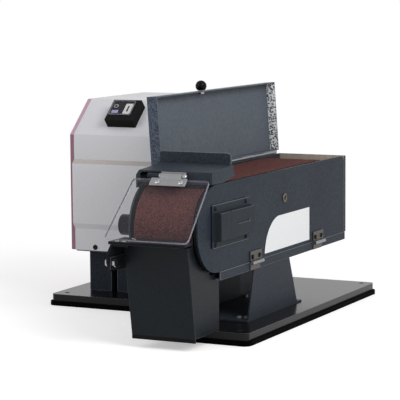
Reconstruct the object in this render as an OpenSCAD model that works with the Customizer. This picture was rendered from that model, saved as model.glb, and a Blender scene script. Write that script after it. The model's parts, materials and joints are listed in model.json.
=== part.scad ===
// Belt grinder: a 100 mm wide belt runs over a front contact wheel and a rear drum that sits
// straight on the motor shaft. X runs across the machine, Y from the front to the back, Z is up.
// The origin is the middle of the footprint, on the floor.

/* [Base] */
// Width of the base plate
base_w = 474; // [440:1:500]
// Height of the folded base plate
base_h = 20; // [16:1:26]
// Front edge of the base under the belt unit
base_front_y = -214; // [-225:1:-190]
// Front edge of the base under the motor
base_left_front_y = -11; // [-30:1:0]
// Rear edge of the base
base_back_y = 330; // [320:1:350]
// Inner corner of the L-shaped base
base_notch_x = 45; // [38:1:60]
// Thickness of the base sheet
base_t = 2; // [1.5:0.5:3]
// Diameter of the fixing holes
fix_hole_d = 9; // [6:0.5:12]

/* [Belt] */
// Width of the grinding belt
belt_w = 100; // [90:1:104]
// Middle of the belt across the machine
unit_x = 131; // [128:1:134]
// Thickness of the grinding belt
belt_t = 1; // [0.8:0.1:1.5]
// Gap left between the belt and its wheels
belt_gap = 0.4; // [0.3:0.05:0.6]
// Radius of the contact wheel with its tyre
wheel_r = 69.6; // [68:0.1:70]
// Radius of the rear drive drum
drum_r = 49.6; // [46:0.1:50]
// Front wheel axis along Y
wheel_y = -219; // [-222:1:-216]
// Front wheel axis height
wheel_z = 180.5; // [178:0.5:182]
// Distance of the two axes along Y
wheel_base = 419; // [415:1:425]

/* [Belt unit] */
// Outer width of the belt unit
unit_w = 130; // [128:1:134]
// Height of the floor tray of the belt unit
beam_z = 102; // [100:1:104]
// Height of the lower edge of the walls
wall_z = 116; // [114:1:118]
// Radius of the round wall fronts
wall_r = 68; // [66:1:68]
// Rear face of the belt unit
unit_back_y = 293; // [285:1:300]
// Thickness of the wall sheet
sheet = 2.5; // [2:0.25:3]
// Middle of the round front of the left wall
left_round_y = -212; // [-215:1:-210]
// Middle of the round front of the side door
door_round_y = -234; // [-236:1:-232]

/* [Lid] */
// Width of the top lid
lid_w = 123; // [118:1:124]
// Depth of the lid's flanges
lid_flange = 16; // [12:1:20]
// Angle at which the lid stands open
lid_open = 93.8; // [90:0.1:96]
// Front end of the lid
lid_front_y = -166; // [-168:1:-150]

/* [Motor housing] */
// Left end of the housing
housing_x0 = -212; // [-216:1:-205]
// Right end of the housing
housing_x1 = 33; // [25:1:35]
// Front face of the housing
housing_front_y = 20; // [15:1:30]
// Rear face of the housing
housing_back_y = 359; // [340:1:360]
// Bottom of the housing
housing_z = 96; // [92:1:100]
// Height of the fold under the slanted face
fold_z = 299; // [290:1:305]
// Height of the roof
roof_z = 357; // [350:1:365]
// Length of the slanted face along Y
slant_y = 65; // [60:1:68]
// Thickness of the housing's end panels
panel_t = 8; // [6:1:10]
// How far the middle band stands forward
band_out = 7; // [4:1:9]

/* [Guards and rest] */
// Height of the work rest's top
rest_z = 172; // [168:0.5:174]
// Angle of the clear shield below the level
shield_angle = 43.9; // [40:0.1:48]
// Length of the shield down its slope
shield_l = 122; // [100:1:123]
// Thickness of the shield
shield_t = 4; // [3:0.5:5]

/* [Hidden] */
$fn = 64;
eps = 0.01;

// Shared places worked out from the driving dimensions
unit_x0 = unit_x - unit_w / 2;
unit_x1 = unit_x + unit_w / 2;
belt_x0 = unit_x - belt_w / 2;
belt_x1 = unit_x + belt_w / 2;
drum_y = wheel_y + wheel_base;
drum_z = wheel_z + wheel_r - drum_r;
line_angle = atan2(drum_z - wheel_z, wheel_base);
axis_gap = norm([wheel_base, drum_z - wheel_z]);
wall_mid_z = wall_z + wall_r;
wall_top = wall_z + 2 * wall_r;
belt_top = wheel_z + wheel_r + belt_gap + belt_t;
door_x = unit_x1 - sheet;
door_back_y = unit_back_y - 9;
door_gap = 1.5;
fit = 0.05;
play = 0.3;

// Basic shapes ------------------------------------------------------------------------------

// Block between two corners
module block(a, b) {
    translate(a) cube(b - a);
}

// Round bar along X from x0 to x1
module bar_x(x0, x1, y, z, r) {
    translate([x0, y, z]) rotate([0, 90, 0]) cylinder(h = x1 - x0, r = r);
}

// Round bar along Y from y0 to y1
module bar_y(y0, y1, x, z, r) {
    translate([x, y0, z]) rotate([-90, 0, 0]) cylinder(h = y1 - y0, r = r);
}

// Profile in the Y-Z plane, drawn out from x0 to x1
module along_x(x0, x1) {
    translate([x0, 0, 0]) rotate([90, 0, 90]) linear_extrude(x1 - x0) children();
}

// Profile in the X-Z plane, drawn out from y0 to y1
module along_y(y0, y1) {
    translate([0, y1, 0]) rotate([90, 0, 0]) linear_extrude(y1 - y0) children();
}

// Rectangle between two corners with round corners
module round_rect(a, b, r) {
    translate(a + [r, 0]) square(b - a - [2 * r, 0]);
    translate(a + [0, r]) square(b - a - [0, 2 * r]);
    for (x = [a.x + r, b.x - r], y = [a.y + r, b.y - r]) translate([x, y]) circle(r);
}

// Slot of width 2r between two points on a level line
module slot(x0, x1, y, r) {
    translate([x0, y - r]) square([x1 - x0, 2 * r]);
    for (x = [x0, x1]) translate([x, y]) circle(r);
}

// Points on an arc of radius r round c, from angle a0 to a1
function arc(c, r, a0, a1, n) = [for (i = [0 : n]) let (a = a0 + (a1 - a0) * i / n) c + r * [cos(a), sin(a)]];

arc_steps = 48;

// Pan-head screw along X, its thread of length l inside
module screw_x(x, y, z, r, head, l) {
    bar_x(x, x + head, y, z, 2 * r);
    bar_x(x - l, x + eps, y, z, r);
}

// Hexagon nut or bolt head on the X axis
module nut_x(w, r) {
    rotate([0, 90, 0]) cylinder(h = w, r = r, $fn = 6);
}

// Base --------------------------------------------------------------------------------------

base_corner_r = 9;

// L-shaped outline of the base with round corners, moved inwards by i
module base_outline(i) {
    back_right = [base_w / 2 - i, base_back_y - i];
    round_rect([-base_w / 2 + i, base_left_front_y + i], back_right, base_corner_r - i);
    round_rect([base_notch_x + i, base_front_y + i], back_right, base_corner_r - i);
}

edging_h = 8;
edging_out = 4;
edging_in = 1.5;
skirt_z = 1.5;
hole_x = [80, 218];
hole_y = [-196, 314];
left_hole_x = -216;
left_hole_y = [10, 314];
fix_holes = [for (x = hole_x, y = hole_y) [x, y], for (y = left_hole_y) [left_hole_x, y]];

module base_plate() {
    color([0.03, 0.03, 0.035])
    difference() {
        translate([0, 0, skirt_z]) linear_extrude(base_h - skirt_z) base_outline(0);
        linear_extrude(base_h - base_t) base_outline(base_t);
        for (p = fix_holes) translate([p.x, p.y, 0]) cylinder(h = 2 * base_h, d = fix_hole_d);
    }
}

module base_edging() {
    color([0.02, 0.02, 0.02])
    difference() {
        linear_extrude(edging_h) base_outline(-edging_out);
        translate([0, 0, -1]) linear_extrude(edging_h + 2) base_outline(base_t + edging_in);
        translate([0, 0, skirt_z]) linear_extrude(edging_h) difference() {
            base_outline(0);
            base_outline(base_t);
        }
    }
}

// Pedestals ---------------------------------------------------------------------------------

leg_y = [52, 315];
leg_w = 44;
leg_x = [-194, -139];
deck_t = 3;
deck_z = housing_z - deck_t;
deck_inset = 6;

// Two box-shaped legs under a deck that carries the motor and its housing
module motor_pedestal() {
    color([0.2, 0.23, 0.27]) {
        for (x = leg_x) difference() {
            block([x, leg_y[0], base_h], [x + leg_w, leg_y[1], deck_z]);
            block([x + sheet, leg_y[0] + sheet, base_h - 1],
                [x + leg_w - sheet, leg_y[1] - sheet, deck_z - eps]);
        }
        block([housing_x0 + deck_inset, housing_front_y + deck_inset, deck_z],
            [housing_x1 - deck_inset, housing_back_y - deck_inset, housing_z]);
    }
}

ped_x0 = belt_x0 + 1;
ped_x1 = unit_x1 - 1;
ped_low_y = [-120, 77];
ped_top_y = [-97, 44];
ped_foot_t = 2.5;
ped_foot_y = [ped_low_y[0] - 4, ped_low_y[1] + 18];
ped_left_back_y = ped_low_y[1] + 8;
stay_x = unit_x0;
stay_back_y = 240;
stay_foot_w = 12;
ped_flange_w = 22;
ped_wall_z = base_h + ped_foot_t;

// Folded U-shaped bracket with a foot plate, two walls and turned-in top flanges; the left wall
// steps outwards behind the foot plate and runs on as a stay with its own foot
module unit_pedestal() {
    color([0.2, 0.23, 0.27])
    difference() {
        union() {
            block([ped_x0, ped_foot_y[0], base_h], [ped_x1, ped_foot_y[1], ped_wall_z]);
            block([stay_x, ped_left_back_y - sheet, base_h], [ped_x0 + 1, ped_left_back_y, beam_z]);
            block([stay_x, ped_left_back_y - sheet, base_h], [stay_x + sheet, stay_back_y, beam_z]);
            block([stay_x - stay_foot_w, ped_left_back_y, base_h], [stay_x + 1, stay_back_y, ped_wall_z]);
            along_x(ped_x0, ped_x0 + sheet) polygon([[ped_low_y[0], base_h], [ped_top_y[0], beam_z],
                [ped_left_back_y, beam_z], [ped_left_back_y, base_h]]);
            along_x(ped_x1 - sheet, ped_x1) polygon([[ped_low_y[0], base_h], [ped_top_y[0], beam_z],
                [ped_top_y[1], beam_z], [ped_low_y[1], base_h]]);
            for (x = [ped_x0, ped_x1 - ped_flange_w]) block([x, ped_top_y[0], beam_z - sheet],
                [x + ped_flange_w, ped_top_y[1], beam_z]);
        }
        for (p = ped_bolt_places) translate([p.x, p.y, base_h - 1])
            cylinder(h = ped_foot_t + 2, r = bolt_r + fit);
    }
}

bolt_r = 3;
bolt_head_r = 5;
bolt_head_h = 3.5;
ped_bolt_places = [[100, -100], [172, -104], [182, -100], [95, 84], [170, 84], [60, 108], [60, 220]];

module pedestal_bolts() {
    color([0.35, 0.35, 0.36])
    for (p = ped_bolt_places) translate([p.x, p.y, ped_wall_z]) {
        cylinder(h = bolt_head_h, r = bolt_head_r);
        translate([0, 0, -ped_foot_t]) cylinder(h = ped_foot_t, r = bolt_r);
    }
}

// Belt unit ---------------------------------------------------------------------------------

tray_front_y = -223;
tray_open_y = -120;
rail_w = 10;
tray_back_y = unit_back_y - 3;

// Floor tray of the belt unit, open at the front where the sparks fall
module floor_tray() {
    color([0.2, 0.23, 0.27]) {
        block([unit_x0, tray_open_y, beam_z], [unit_x1, tray_back_y, beam_z + sheet]);
        for (x = [unit_x0, unit_x1 - rail_w])
            block([x, tray_front_y, beam_z], [x + rail_w, tray_open_y, beam_z + sheet]);
        for (x = [unit_x0, unit_x1 - sheet])
            block([x, tray_front_y, beam_z], [x + sheet, tray_back_y, wall_z]);
    }
}

// Runs children in a frame at the wheel axis with Y along the line of the two axes
module on_belt_line() {
    translate([0, wheel_y, wheel_z]) rotate([line_angle, 0, 0]) children();
}

carriage_x0 = unit_x0 + sheet + play;
carriage_x1 = carriage_x0 + 6;
carriage_y = [-36, 60];
carriage_h = 25;
carriage_block_l = 14;
carriage_travel = 6;
boss_r = 16.5;
boss_x = 23;
boss_end_t = 2;
boss_slack = 0.4;
rail_h = 6;
lug_y = [110, 118];
lug_h = 9;
rod_r = 3;
rod_x = belt_x0 - 6.3;
rod_depth = 8;
post_y = 22;
post_z = 205;
post_r = 8;
post_bore_r = 6;
shaft_r = 12;
shaft_window_r = 30;

// Left wall with the round front, the rear wall and the guides of the tension carriage
module unit_frame() {
    color([0.2, 0.23, 0.27])
    difference() {
        union() {
            along_x(unit_x0, unit_x0 + sheet) {
                translate([left_round_y, wall_mid_z]) circle(wall_r);
                translate([left_round_y, wall_z]) square([unit_back_y - left_round_y, 2 * wall_r]);
            }
            block([unit_x0, unit_back_y - sheet, wall_z], [unit_x1, unit_back_y, wall_top]);
            block([unit_x1 - sheet, door_back_y + door_gap, wall_z], [unit_x1, unit_back_y, wall_top]);
            on_belt_line() {
                for (z = [-carriage_h - play - rail_h, carriage_h + play])
                    block([unit_x0 + sheet - eps, carriage_y[0], z],
                        [carriage_x1 - play, carriage_y[1] + carriage_travel, z + rail_h]);
                block([unit_x0 + sheet - eps, lug_y[0], -lug_h], [rod_x + lug_h, lug_y[1], lug_h]);
            }
        }
        on_belt_line() {
            along_x(unit_x0 - 1, unit_x0 + sheet) slot(0, carriage_travel, 0, boss_r + boss_slack);
            bar_y(lug_y[0] - 1, lug_y[1] + 1, rod_x, 0, rod_r + 0.1);
        }
        bar_x(unit_x0 - 1, unit_x0 + sheet + 1, drum_y, drum_z, shaft_window_r);
    }
}

door_mid_z = wall_mid_z + 0.5;
door_corner_r = 14;

// Outline of the side door, moved inwards by i: round front, straight rear with a round top corner
module door_outline(i) {
    corner = [door_back_y - door_corner_r, door_mid_z + wall_r - door_corner_r];
    polygon(concat(arc([door_round_y, door_mid_z], wall_r - i, 90, 270, arc_steps),
        [[door_back_y - i, door_mid_z - wall_r + i]], arc(corner, door_corner_r - i, 0, 90, 8)));
}

rim_inset = 6;
rim_t = 2;
rim_x = unit_x1 - 10;
seal_x = unit_x1 - 7;
latch_r = 6;

// Flat side door with an inner stiffening rim
module side_door() {
    color([0.22, 0.25, 0.29])
    difference() {
        union() {
            along_x(door_x, unit_x1) door_outline(0);
            along_x(rim_x, door_x + eps) difference() {
                door_outline(rim_inset);
                door_outline(rim_inset + rim_t);
            }
        }
        bar_x(door_x - 1, unit_x1 + 1, post_y, post_z, latch_r + fit);
        block([door_x - 1, inspect_y[0] + inspect_lap, inspect_z[0] + inspect_lap],
            [unit_x1 + 1, inspect_y[1] - inspect_lap, inspect_z[1] - inspect_lap]);
        for (y = inspect_screw_y, z = inspect_screw_z) bar_x(door_x - 1, unit_x1 + 1, y, z, inspect_screw_r);
    }
}

module door_seal() {
    color([0.03, 0.03, 0.03])
    along_x(seal_x, door_x) difference() {
        door_outline(1);
        door_outline(rim_inset);
    }
}

hinge_axis_x = unit_x1 + 4;
hinge_axis_z = wall_z - 2;
hinge_spans = [[-116, -73], [142, 185]];
hinge_r = 3;
hinge_pin_r = 1.5;
leaf_t = 1.6;
knuckle_gap = 0.3;
knuckle_web = 2.5;
door_leaf_z = [wall_z + 1.2, wall_z + 17];
frame_leaf_z = [beam_z + 0.5, hinge_axis_z - 3.2];
frame_leaf_short = 6;
hinge_screw_r = 2;
screw_head = 1.6;
hinge_screw_z = 123.5;

// Thirds of a hinge barrel: the door holds the middle one and the frame the outer two
function knuckle(span, i) = let (third = (span[1] - span[0]) / 3)
    [span[0] + i * third + knuckle_gap / 2, span[0] + (i + 1) * third - knuckle_gap / 2];

module hinge_knuckle(part, z_leaf) {
    difference() {
        union() {
            bar_y(part[0], part[1], hinge_axis_x, hinge_axis_z, hinge_r);
            block([unit_x1, part[0], min(z_leaf, hinge_axis_z)],
                [unit_x1 + knuckle_web, part[1], max(z_leaf, hinge_axis_z)]);
        }
        bar_y(part[0] - 1, part[1] + 1, hinge_axis_x, hinge_axis_z, hinge_pin_r + fit);
    }
}

module door_hinge_leaves() {
    color([0.62, 0.63, 0.64])
    for (span = hinge_spans) {
        difference() {
            block([unit_x1, span[0], door_leaf_z[0]], [unit_x1 + leaf_t, span[1], door_leaf_z[1]]);
            for (y = hinge_screw_y(span))
                bar_x(unit_x1 - 1, unit_x1 + leaf_t + 1, y, hinge_screw_z, hinge_screw_r);
        }
        hinge_knuckle(knuckle(span, 1), door_leaf_z[0] + 1);
    }
}

module frame_hinge_leaves() {
    color([0.62, 0.63, 0.64])
    for (span = hinge_spans) {
        block([unit_x1, span[0], frame_leaf_z[0]],
            [unit_x1 + leaf_t, span[1] - frame_leaf_short, frame_leaf_z[1]]);
        for (i = [0, 2]) hinge_knuckle(knuckle(span, i), frame_leaf_z[1] - 1);
    }
}

module door_hinge_pins() {
    color([0.7, 0.7, 0.7])
    for (span = hinge_spans) bar_y(span[0], span[1], hinge_axis_x, hinge_axis_z, hinge_pin_r);
}

function hinge_screw_y(span) = [span[0] + 8.5, span[1] - 8];

module door_hinge_screws() {
    color([0.7, 0.7, 0.7])
    for (span = hinge_spans, y = hinge_screw_y(span))
        screw_x(unit_x1 + leaf_t, y, hinge_screw_z, hinge_screw_r, screw_head, leaf_t);
}

latch_pin_r = 3.5;
latch_reach = 4;
latch_head = 2;
latch_slot = 2;
post_x1 = rim_x + 1;

// Quarter-turn fastener: slotted head and the pin that grips inside the stay
module door_latch() {
    color([0.78, 0.68, 0.42])
    difference() {
        union() {
            bar_x(door_x, unit_x1, post_y, post_z, latch_r);
            bar_x(unit_x1, unit_x1 + latch_head, post_y, post_z, latch_r + 1);
            bar_x(post_x1 - latch_reach, door_x + eps, post_y, post_z, latch_pin_r);
        }
        block([unit_x1 + latch_head / 2, post_y - latch_slot / 2, post_z - 2 * latch_r],
            [unit_x1 + 2 * latch_head, post_y + latch_slot / 2, post_z + 2 * latch_r]);
    }
}

// Tubular stay across the unit, whose open end takes the door fastener
module latch_post() {
    color([0.6, 0.6, 0.6])
    difference() {
        bar_x(unit_x0 + sheet, post_x1, post_y, post_z, post_r);
        bar_x(unit_x0, post_x1 + 1, post_y, post_z, post_bore_r);
    }
}

inspect_y = [-256, -120];
inspect_z = [155, 222];
inspect_t = 2;
inspect_lap = 14;
inspect_corner_r = 4;
inspect_screw_y = [-244, -134];
inspect_screw_z = [160, 216.5];
inspect_screw_r = 1.8;
pocket_y = [-249, -120];
pocket_z = [164, 211];
pocket_out = 12;
grip_y = [-181, -141];
grip_z = 188.5;
grip_r = 2.2;

// Screwed-on cover with a pressed-out pocket and a long grip slot
module inspection_cover() {
    color([0.22, 0.25, 0.29])
    difference() {
        union() {
            along_x(unit_x1, unit_x1 + inspect_t) round_rect([inspect_y[0], inspect_z[0]],
                [inspect_y[1], inspect_z[1]], inspect_corner_r);
            along_x(unit_x1, unit_x1 + pocket_out) round_rect([pocket_y[0], pocket_z[0]],
                [pocket_y[1], pocket_z[1]], inspect_corner_r);
        }
        along_x(unit_x1 - 1, unit_x1 + pocket_out - inspect_t) round_rect(
            [pocket_y[0] + inspect_t, pocket_z[0] + inspect_t],
            [pocket_y[1] - inspect_t, pocket_z[1] - inspect_t], inspect_corner_r - 1);
        along_x(unit_x1, unit_x1 + pocket_out + 1) slot(grip_y[0], grip_y[1], grip_z, grip_r);
        for (y = inspect_screw_y, z = inspect_screw_z)
            bar_x(unit_x1 - 1, unit_x1 + inspect_t + 1, y, z, inspect_screw_r);
    }
}

module inspection_screws() {
    color([0.7, 0.7, 0.7])
    for (y = inspect_screw_y, z = inspect_screw_z)
        screw_x(unit_x1 + inspect_t, y, z, inspect_screw_r, screw_head, inspect_t + sheet);
}

label_y = [-58, 126];
label_z = [122, 178];
label_t = 0.6;
label_round_r = 62.5;
label_round = [label_y[0] + 62, label_z[0] - 6];

// Bare D-shaped plate
module label_plate() {
    color([0.9, 0.9, 0.9])
    along_x(unit_x1, unit_x1 + label_t) intersection() {
        translate([label_y[0], label_z[0]]) square([label_y[1] - label_y[0], label_z[1] - label_z[0]]);
        union() {
            translate(label_round) circle(label_round_r);
            translate(label_round) square(label_y[1] - label_round.x);
        }
    }
}

hood_front_y = -250;
hood_top_y = -178;
hood_back_y = -171;
hood_z = [272, 277.5];
hood_out = 2;
cheek_z = wall_top + 1.3;
left_cheek_z = 244;
hood_slot_x = [77, 104];
hood_slot_z = 263;
hood_slot_r = 6.5;
hood_cut_z = 264;
hood_cut_angle = 56;
hood_cut_l = 24;
right_cheek = [[hood_back_y - 4, hood_z[1]], [hood_back_y, 260], [hood_back_y - 38, cheek_z]];

// Runs 2-D children in a frame whose X lies along the slant that takes off the hood's left corner
module on_hood_cut(y0, y1) {
    along_y(y0, y1) translate([unit_x0 - hood_out, hood_cut_z]) rotate(hood_cut_angle) children();
}

// Sheet hood over the top of the contact wheel, with a slot behind the shield's clamping sleeve
module hood() {
    color([0.2, 0.23, 0.27])
    difference() {
        union() {
            along_x(unit_x0 - hood_out, unit_x1) polygon([[hood_front_y, hood_z[0]], [hood_top_y, hood_z[1]],
                [hood_top_y, hood_z[1] - sheet], [hood_front_y + sheet, hood_z[0] - sheet],
                [hood_front_y + sheet, cheek_z], [hood_front_y, cheek_z]]);
            along_x(unit_x0 - hood_out, unit_x0) polygon([[hood_front_y, left_cheek_z],
                [hood_front_y, hood_z[0] - eps], [hood_top_y, hood_z[1]], [hood_back_y, hood_z[1]],
                [hood_back_y, left_cheek_z]]);
            along_x(unit_x1 - hood_out, unit_x1) polygon(concat([[hood_front_y, cheek_z],
                [hood_front_y, hood_z[0] - eps], [hood_top_y, hood_z[1]]], right_cheek));
            intersection() {
                on_hood_cut(hood_front_y + 1, hood_top_y - 1)
                    translate([0, -sheet]) square([hood_cut_l, sheet + 1]);
                along_x(unit_x0 - hood_out, unit_x1) polygon([[hood_front_y + 1, cheek_z],
                    [hood_front_y + 1, hood_z[0] - 1], [hood_top_y - 1, hood_z[1] - 1],
                    [hood_top_y - 1, cheek_z]]);
            }
        }
        on_hood_cut(hood_front_y - 1, hood_back_y + 1) square(hood_cut_l);
        along_y(hood_front_y - 1, hood_front_y + sheet + 1)
            slot(hood_slot_x[0], hood_slot_x[1], hood_slot_z, hood_slot_r);
    }
}

stop_z = [262, 296];
stop_x = [unit_x0 + 2, unit_x1 - hood_out - play];
stop_corner_r = 5;

// Upright stop behind the hood for work held on the flat run of the belt
module stop_plate() {
    color([0.2, 0.23, 0.27])
    along_y(hood_top_y, hood_top_y + sheet)
        round_rect([stop_x[0], stop_z[0]], [stop_x[1], stop_z[1]], stop_corner_r);
}

// Lid ---------------------------------------------------------------------------------------

lid_hinge_x = unit_x0 + 0.5;
lid_hinge_z = wall_top + 3;
lid_t = 2;
lid_x0 = 3;
lid_x1 = lid_x0 + lid_w;
lid_tip = 0.5;
lid_top = lid_tip + lid_flange + lid_t;
lid_back_y = unit_back_y;
lid_barrel_r = 2.5;
lid_pin_r = 1.2;
lid_knuckles = 9;
lid_barrel_y = [lid_front_y + 20, lid_back_y - 20];
lid_knuckle_l = (lid_barrel_y[1] - lid_barrel_y[0]) / lid_knuckles;
knob_y = 12;
knob_hole_y = -26;
hinge_hole_y = 111;
lid_hole_r = 3;
lid_leaf_z = [2.8, 14];
wall_leaf_z = [-17, -3];
wall_leaf_x = [-2.1, -0.5];

// Runs children drawn for the closed lid, round the hinge axis, in the open pose
module open_lid() {
    translate([lid_hinge_x, 0, lid_hinge_z]) rotate([0, -lid_open, 0]) children();
}

// Box-shaped lid: a plate with flanges all round
module top_lid() {
    color([0.34, 0.37, 0.41])
    open_lid() difference() {
        block([lid_x0, lid_front_y, lid_tip], [lid_x1, lid_back_y, lid_top]);
        block([lid_x0 + lid_t, lid_front_y + lid_t, -1],
            [lid_x1 - lid_t, lid_back_y - lid_t, lid_top - lid_t]);
        bar_x(lid_x1 - lid_t - 1, lid_x1 + 1, knob_y, lid_top / 2, lid_hole_r + fit);
        bar_x(lid_x1 - lid_t - 1, lid_x1 + 1, knob_hole_y, lid_top / 2, lid_hole_r);
        bar_x(lid_x0 - 1, lid_x0 + lid_t + 1, hinge_hole_y, lid_top - 2 * lid_hole_r, lid_hole_r);
    }
}

// Every other knuckle of the lid's long hinge, beginning with the first or the second
module lid_knuckle_row(first) {
    for (i = [first : 2 : lid_knuckles - 1]) bar_y(lid_barrel_y[0] + i * lid_knuckle_l + knuckle_gap / 2,
        lid_barrel_y[0] + (i + 1) * lid_knuckle_l - knuckle_gap / 2, 0, 0, lid_barrel_r);
}

// Webs that join the knuckles to their leaf
module lid_web_row(first, a, b) {
    for (i = [first : 2 : lid_knuckles - 1]) block(
        [a.x, lid_barrel_y[0] + i * lid_knuckle_l + knuckle_gap / 2, a.y],
        [b.x, lid_barrel_y[0] + (i + 1) * lid_knuckle_l - knuckle_gap / 2, b.y]);
}

module lid_hinge_leaf() {
    color([0.55, 0.56, 0.58])
    open_lid() difference() {
        union() {
            block([lid_x0 - leaf_t, lid_barrel_y[0], lid_leaf_z[0]],
                [lid_x0, lid_barrel_y[1], lid_leaf_z[1]]);
            lid_knuckle_row(0);
            lid_web_row(0, [lid_x0 - lid_barrel_r, 0], [lid_x0, lid_leaf_z[0] + leaf_t / 8]);
        }
        bar_y(lid_barrel_y[0] - 1, lid_barrel_y[1] + 1, 0, 0, lid_pin_r + fit);
    }
}

module wall_hinge_leaf() {
    color([0.55, 0.56, 0.58])
    translate([lid_hinge_x, 0, lid_hinge_z]) difference() {
        union() {
            block([wall_leaf_x[0], lid_barrel_y[0], wall_leaf_z[0]],
                [wall_leaf_x[1], lid_barrel_y[1], wall_leaf_z[1]]);
            lid_knuckle_row(1);
            lid_web_row(1, [wall_leaf_x[0], wall_leaf_z[1] - leaf_t / 8], [wall_leaf_x[1], 0]);
        }
        bar_y(lid_barrel_y[0] - 1, lid_barrel_y[1] + 1, 0, 0, lid_pin_r + fit);
    }
}

module lid_hinge_pin() {
    color([0.7, 0.7, 0.7])
    bar_y(lid_barrel_y[0], lid_barrel_y[1], lid_hinge_x, lid_hinge_z, lid_pin_r);
}

knob_ball_r = 9.4;
knob_seat = 2.5;
knob_stem = 1;
knob_stem_r = 5;
stud_depth = 7;

// Ball with a flat seat and a bore for its stud
module lid_knob() {
    color([0.03, 0.03, 0.03])
    open_lid() translate([lid_x1 + knob_stem, knob_y, lid_top / 2]) rotate([0, 90, 0]) rotate_extrude()
    difference() {
        translate([0, knob_ball_r - knob_seat]) circle(knob_ball_r);
        translate([-2 * knob_ball_r, -knob_ball_r]) square([2 * knob_ball_r, 4 * knob_ball_r]);
        translate([0, -knob_ball_r]) square([2 * knob_ball_r, knob_ball_r]);
        square([lid_hole_r, stud_depth]);
    }
}

module knob_stud() {
    color([0.75, 0.75, 0.75])
    open_lid() {
        bar_x(lid_x1 - 3 * lid_t, lid_x1 + knob_stem + stud_depth, knob_y, lid_top / 2, lid_hole_r);
        bar_x(lid_x1, lid_x1 + knob_stem, knob_y, lid_top / 2, knob_stem_r);
    }
}

// Wheels and belt ---------------------------------------------------------------------------

tyre_t = 10;
hub_r = wheel_r - tyre_t;
hub_rim_t = 8;
hub_bore_r = 14;
web_t = 24;
bearing_r = 21;
bearing_w = 12;
bearing_inset = 4;
bearing_seat_t = 7;
bearing_x = [belt_x0 + bearing_inset, belt_x1 - bearing_inset - bearing_w];
axle_r = 10;
axle_collar_r = 13;
axle_nut_w = 8;

module wheel_hub() {
    color([0.7, 0.7, 0.72])
    difference() {
        bar_x(belt_x0, belt_x1, wheel_y, wheel_z, hub_r);
        bar_x(belt_x0 - 1, belt_x1 + 1, wheel_y, wheel_z, hub_bore_r);
        bar_x(belt_x0 - 1, bearing_x[0] + bearing_w, wheel_y, wheel_z, bearing_r);
        bar_x(bearing_x[1], belt_x1 + 1, wheel_y, wheel_z, bearing_r);
        for (x = [[belt_x0 - 1, unit_x - web_t / 2], [unit_x + web_t / 2, belt_x1 + 1]]) difference() {
            bar_x(x[0], x[1], wheel_y, wheel_z, hub_r - hub_rim_t);
            bar_x(x[0] - 1, x[1] + 1, wheel_y, wheel_z, bearing_r + bearing_seat_t);
        }
    }
}

module wheel_tyre() {
    color([0.05, 0.05, 0.05])
    difference() {
        bar_x(belt_x0, belt_x1, wheel_y, wheel_z, wheel_r);
        bar_x(belt_x0 - 1, belt_x1 + 1, wheel_y, wheel_z, hub_r);
    }
}

module wheel_bearings() {
    color([0.75, 0.75, 0.75])
    for (x = bearing_x) difference() {
        bar_x(x, x + bearing_w, wheel_y, wheel_z, bearing_r);
        bar_x(x - 1, x + bearing_w + 1, wheel_y, wheel_z, axle_r + fit);
    }
}

// Fixed axle with a shoulder collar and an end nut
module wheel_axle() {
    color([0.6, 0.6, 0.62]) {
        bar_x(boss_x + boss_end_t, belt_x1 + axle_nut_w / 2, wheel_y, wheel_z, axle_r);
        bar_x(carriage_x1, bearing_x[0] - play, wheel_y, wheel_z, axle_collar_r);
        translate([belt_x1 + 1, wheel_y, wheel_z]) nut_x(axle_nut_w, axle_collar_r);
    }
}

// Sliding plate with the boss that holds the wheel's axle
module tension_carriage() {
    color([0.06, 0.06, 0.07])
    difference() {
        union() {
            on_belt_line() {
                block([carriage_x0, carriage_y[0], -carriage_h], [carriage_x1, carriage_y[1], carriage_h]);
                block([carriage_x0, carriage_y[1] - carriage_block_l, -lug_h],
                    [rod_x + rod_r + 2 * fit, carriage_y[1], lug_h]);
            }
            bar_x(boss_x, carriage_x0 + 1, wheel_y, wheel_z, boss_r);
        }
        bar_x(boss_x + boss_end_t, carriage_x1 + 1, wheel_y, wheel_z, axle_r);
        on_belt_line() bar_y(carriage_y[1] - rod_depth, carriage_y[1] + 1, rod_x, 0, rod_r);
    }
}

rod_nut_y = lug_y[1] + 2;
rod_nut_w = 7;
rod_nut_r = 5.8;

module tension_rod() {
    color([0.7, 0.7, 0.7])
    on_belt_line() {
        bar_y(carriage_y[1] - rod_depth, rod_nut_y + 2 * rod_nut_w, rod_x, 0, rod_r);
        translate([rod_x, rod_nut_y, 0]) rotate([-90, 0, 0]) cylinder(h = rod_nut_w, r = rod_nut_r, $fn = 6);
    }
}

spring_n = 14;
spring_pitch = 3.1;
spring_t = 2.5;
spring_r = [5.9, 5.2];

// Stack of disc springs between the carriage and the lug
module disc_springs() {
    color([0.5, 0.5, 0.52])
    on_belt_line() for (i = [1 : spring_n]) translate([0, lug_y[0] - i * spring_pitch, 0]) difference() {
        bar_y(0, spring_t, rod_x, 0, spring_r[i % 2]);
        bar_y(-1, spring_t + 1, rod_x, 0, rod_r + play);
    }
}

drum_end_x = belt_x1 - 8;
drum_rim_t = 8;
drum_nut_r = 20;
drum_nut_t = 4;
shaft_tip_r = 4;

module drive_drum() {
    color([0.72, 0.72, 0.74])
    difference() {
        bar_x(belt_x0, belt_x1, drum_y, drum_z, drum_r);
        bar_x(belt_x0 - 1, belt_x1 + 1, drum_y, drum_z, shaft_r);
        bar_x(drum_end_x, belt_x1 + 1, drum_y, drum_z, drum_r - drum_rim_t);
    }
}

module drum_nut() {
    color([0.6, 0.6, 0.62])
    difference() {
        bar_x(drum_end_x, drum_end_x + drum_nut_t, drum_y, drum_z, drum_nut_r);
        bar_x(drum_end_x - 1, drum_end_x + drum_nut_t + 1, drum_y, drum_z, shaft_tip_r);
    }
}

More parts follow.
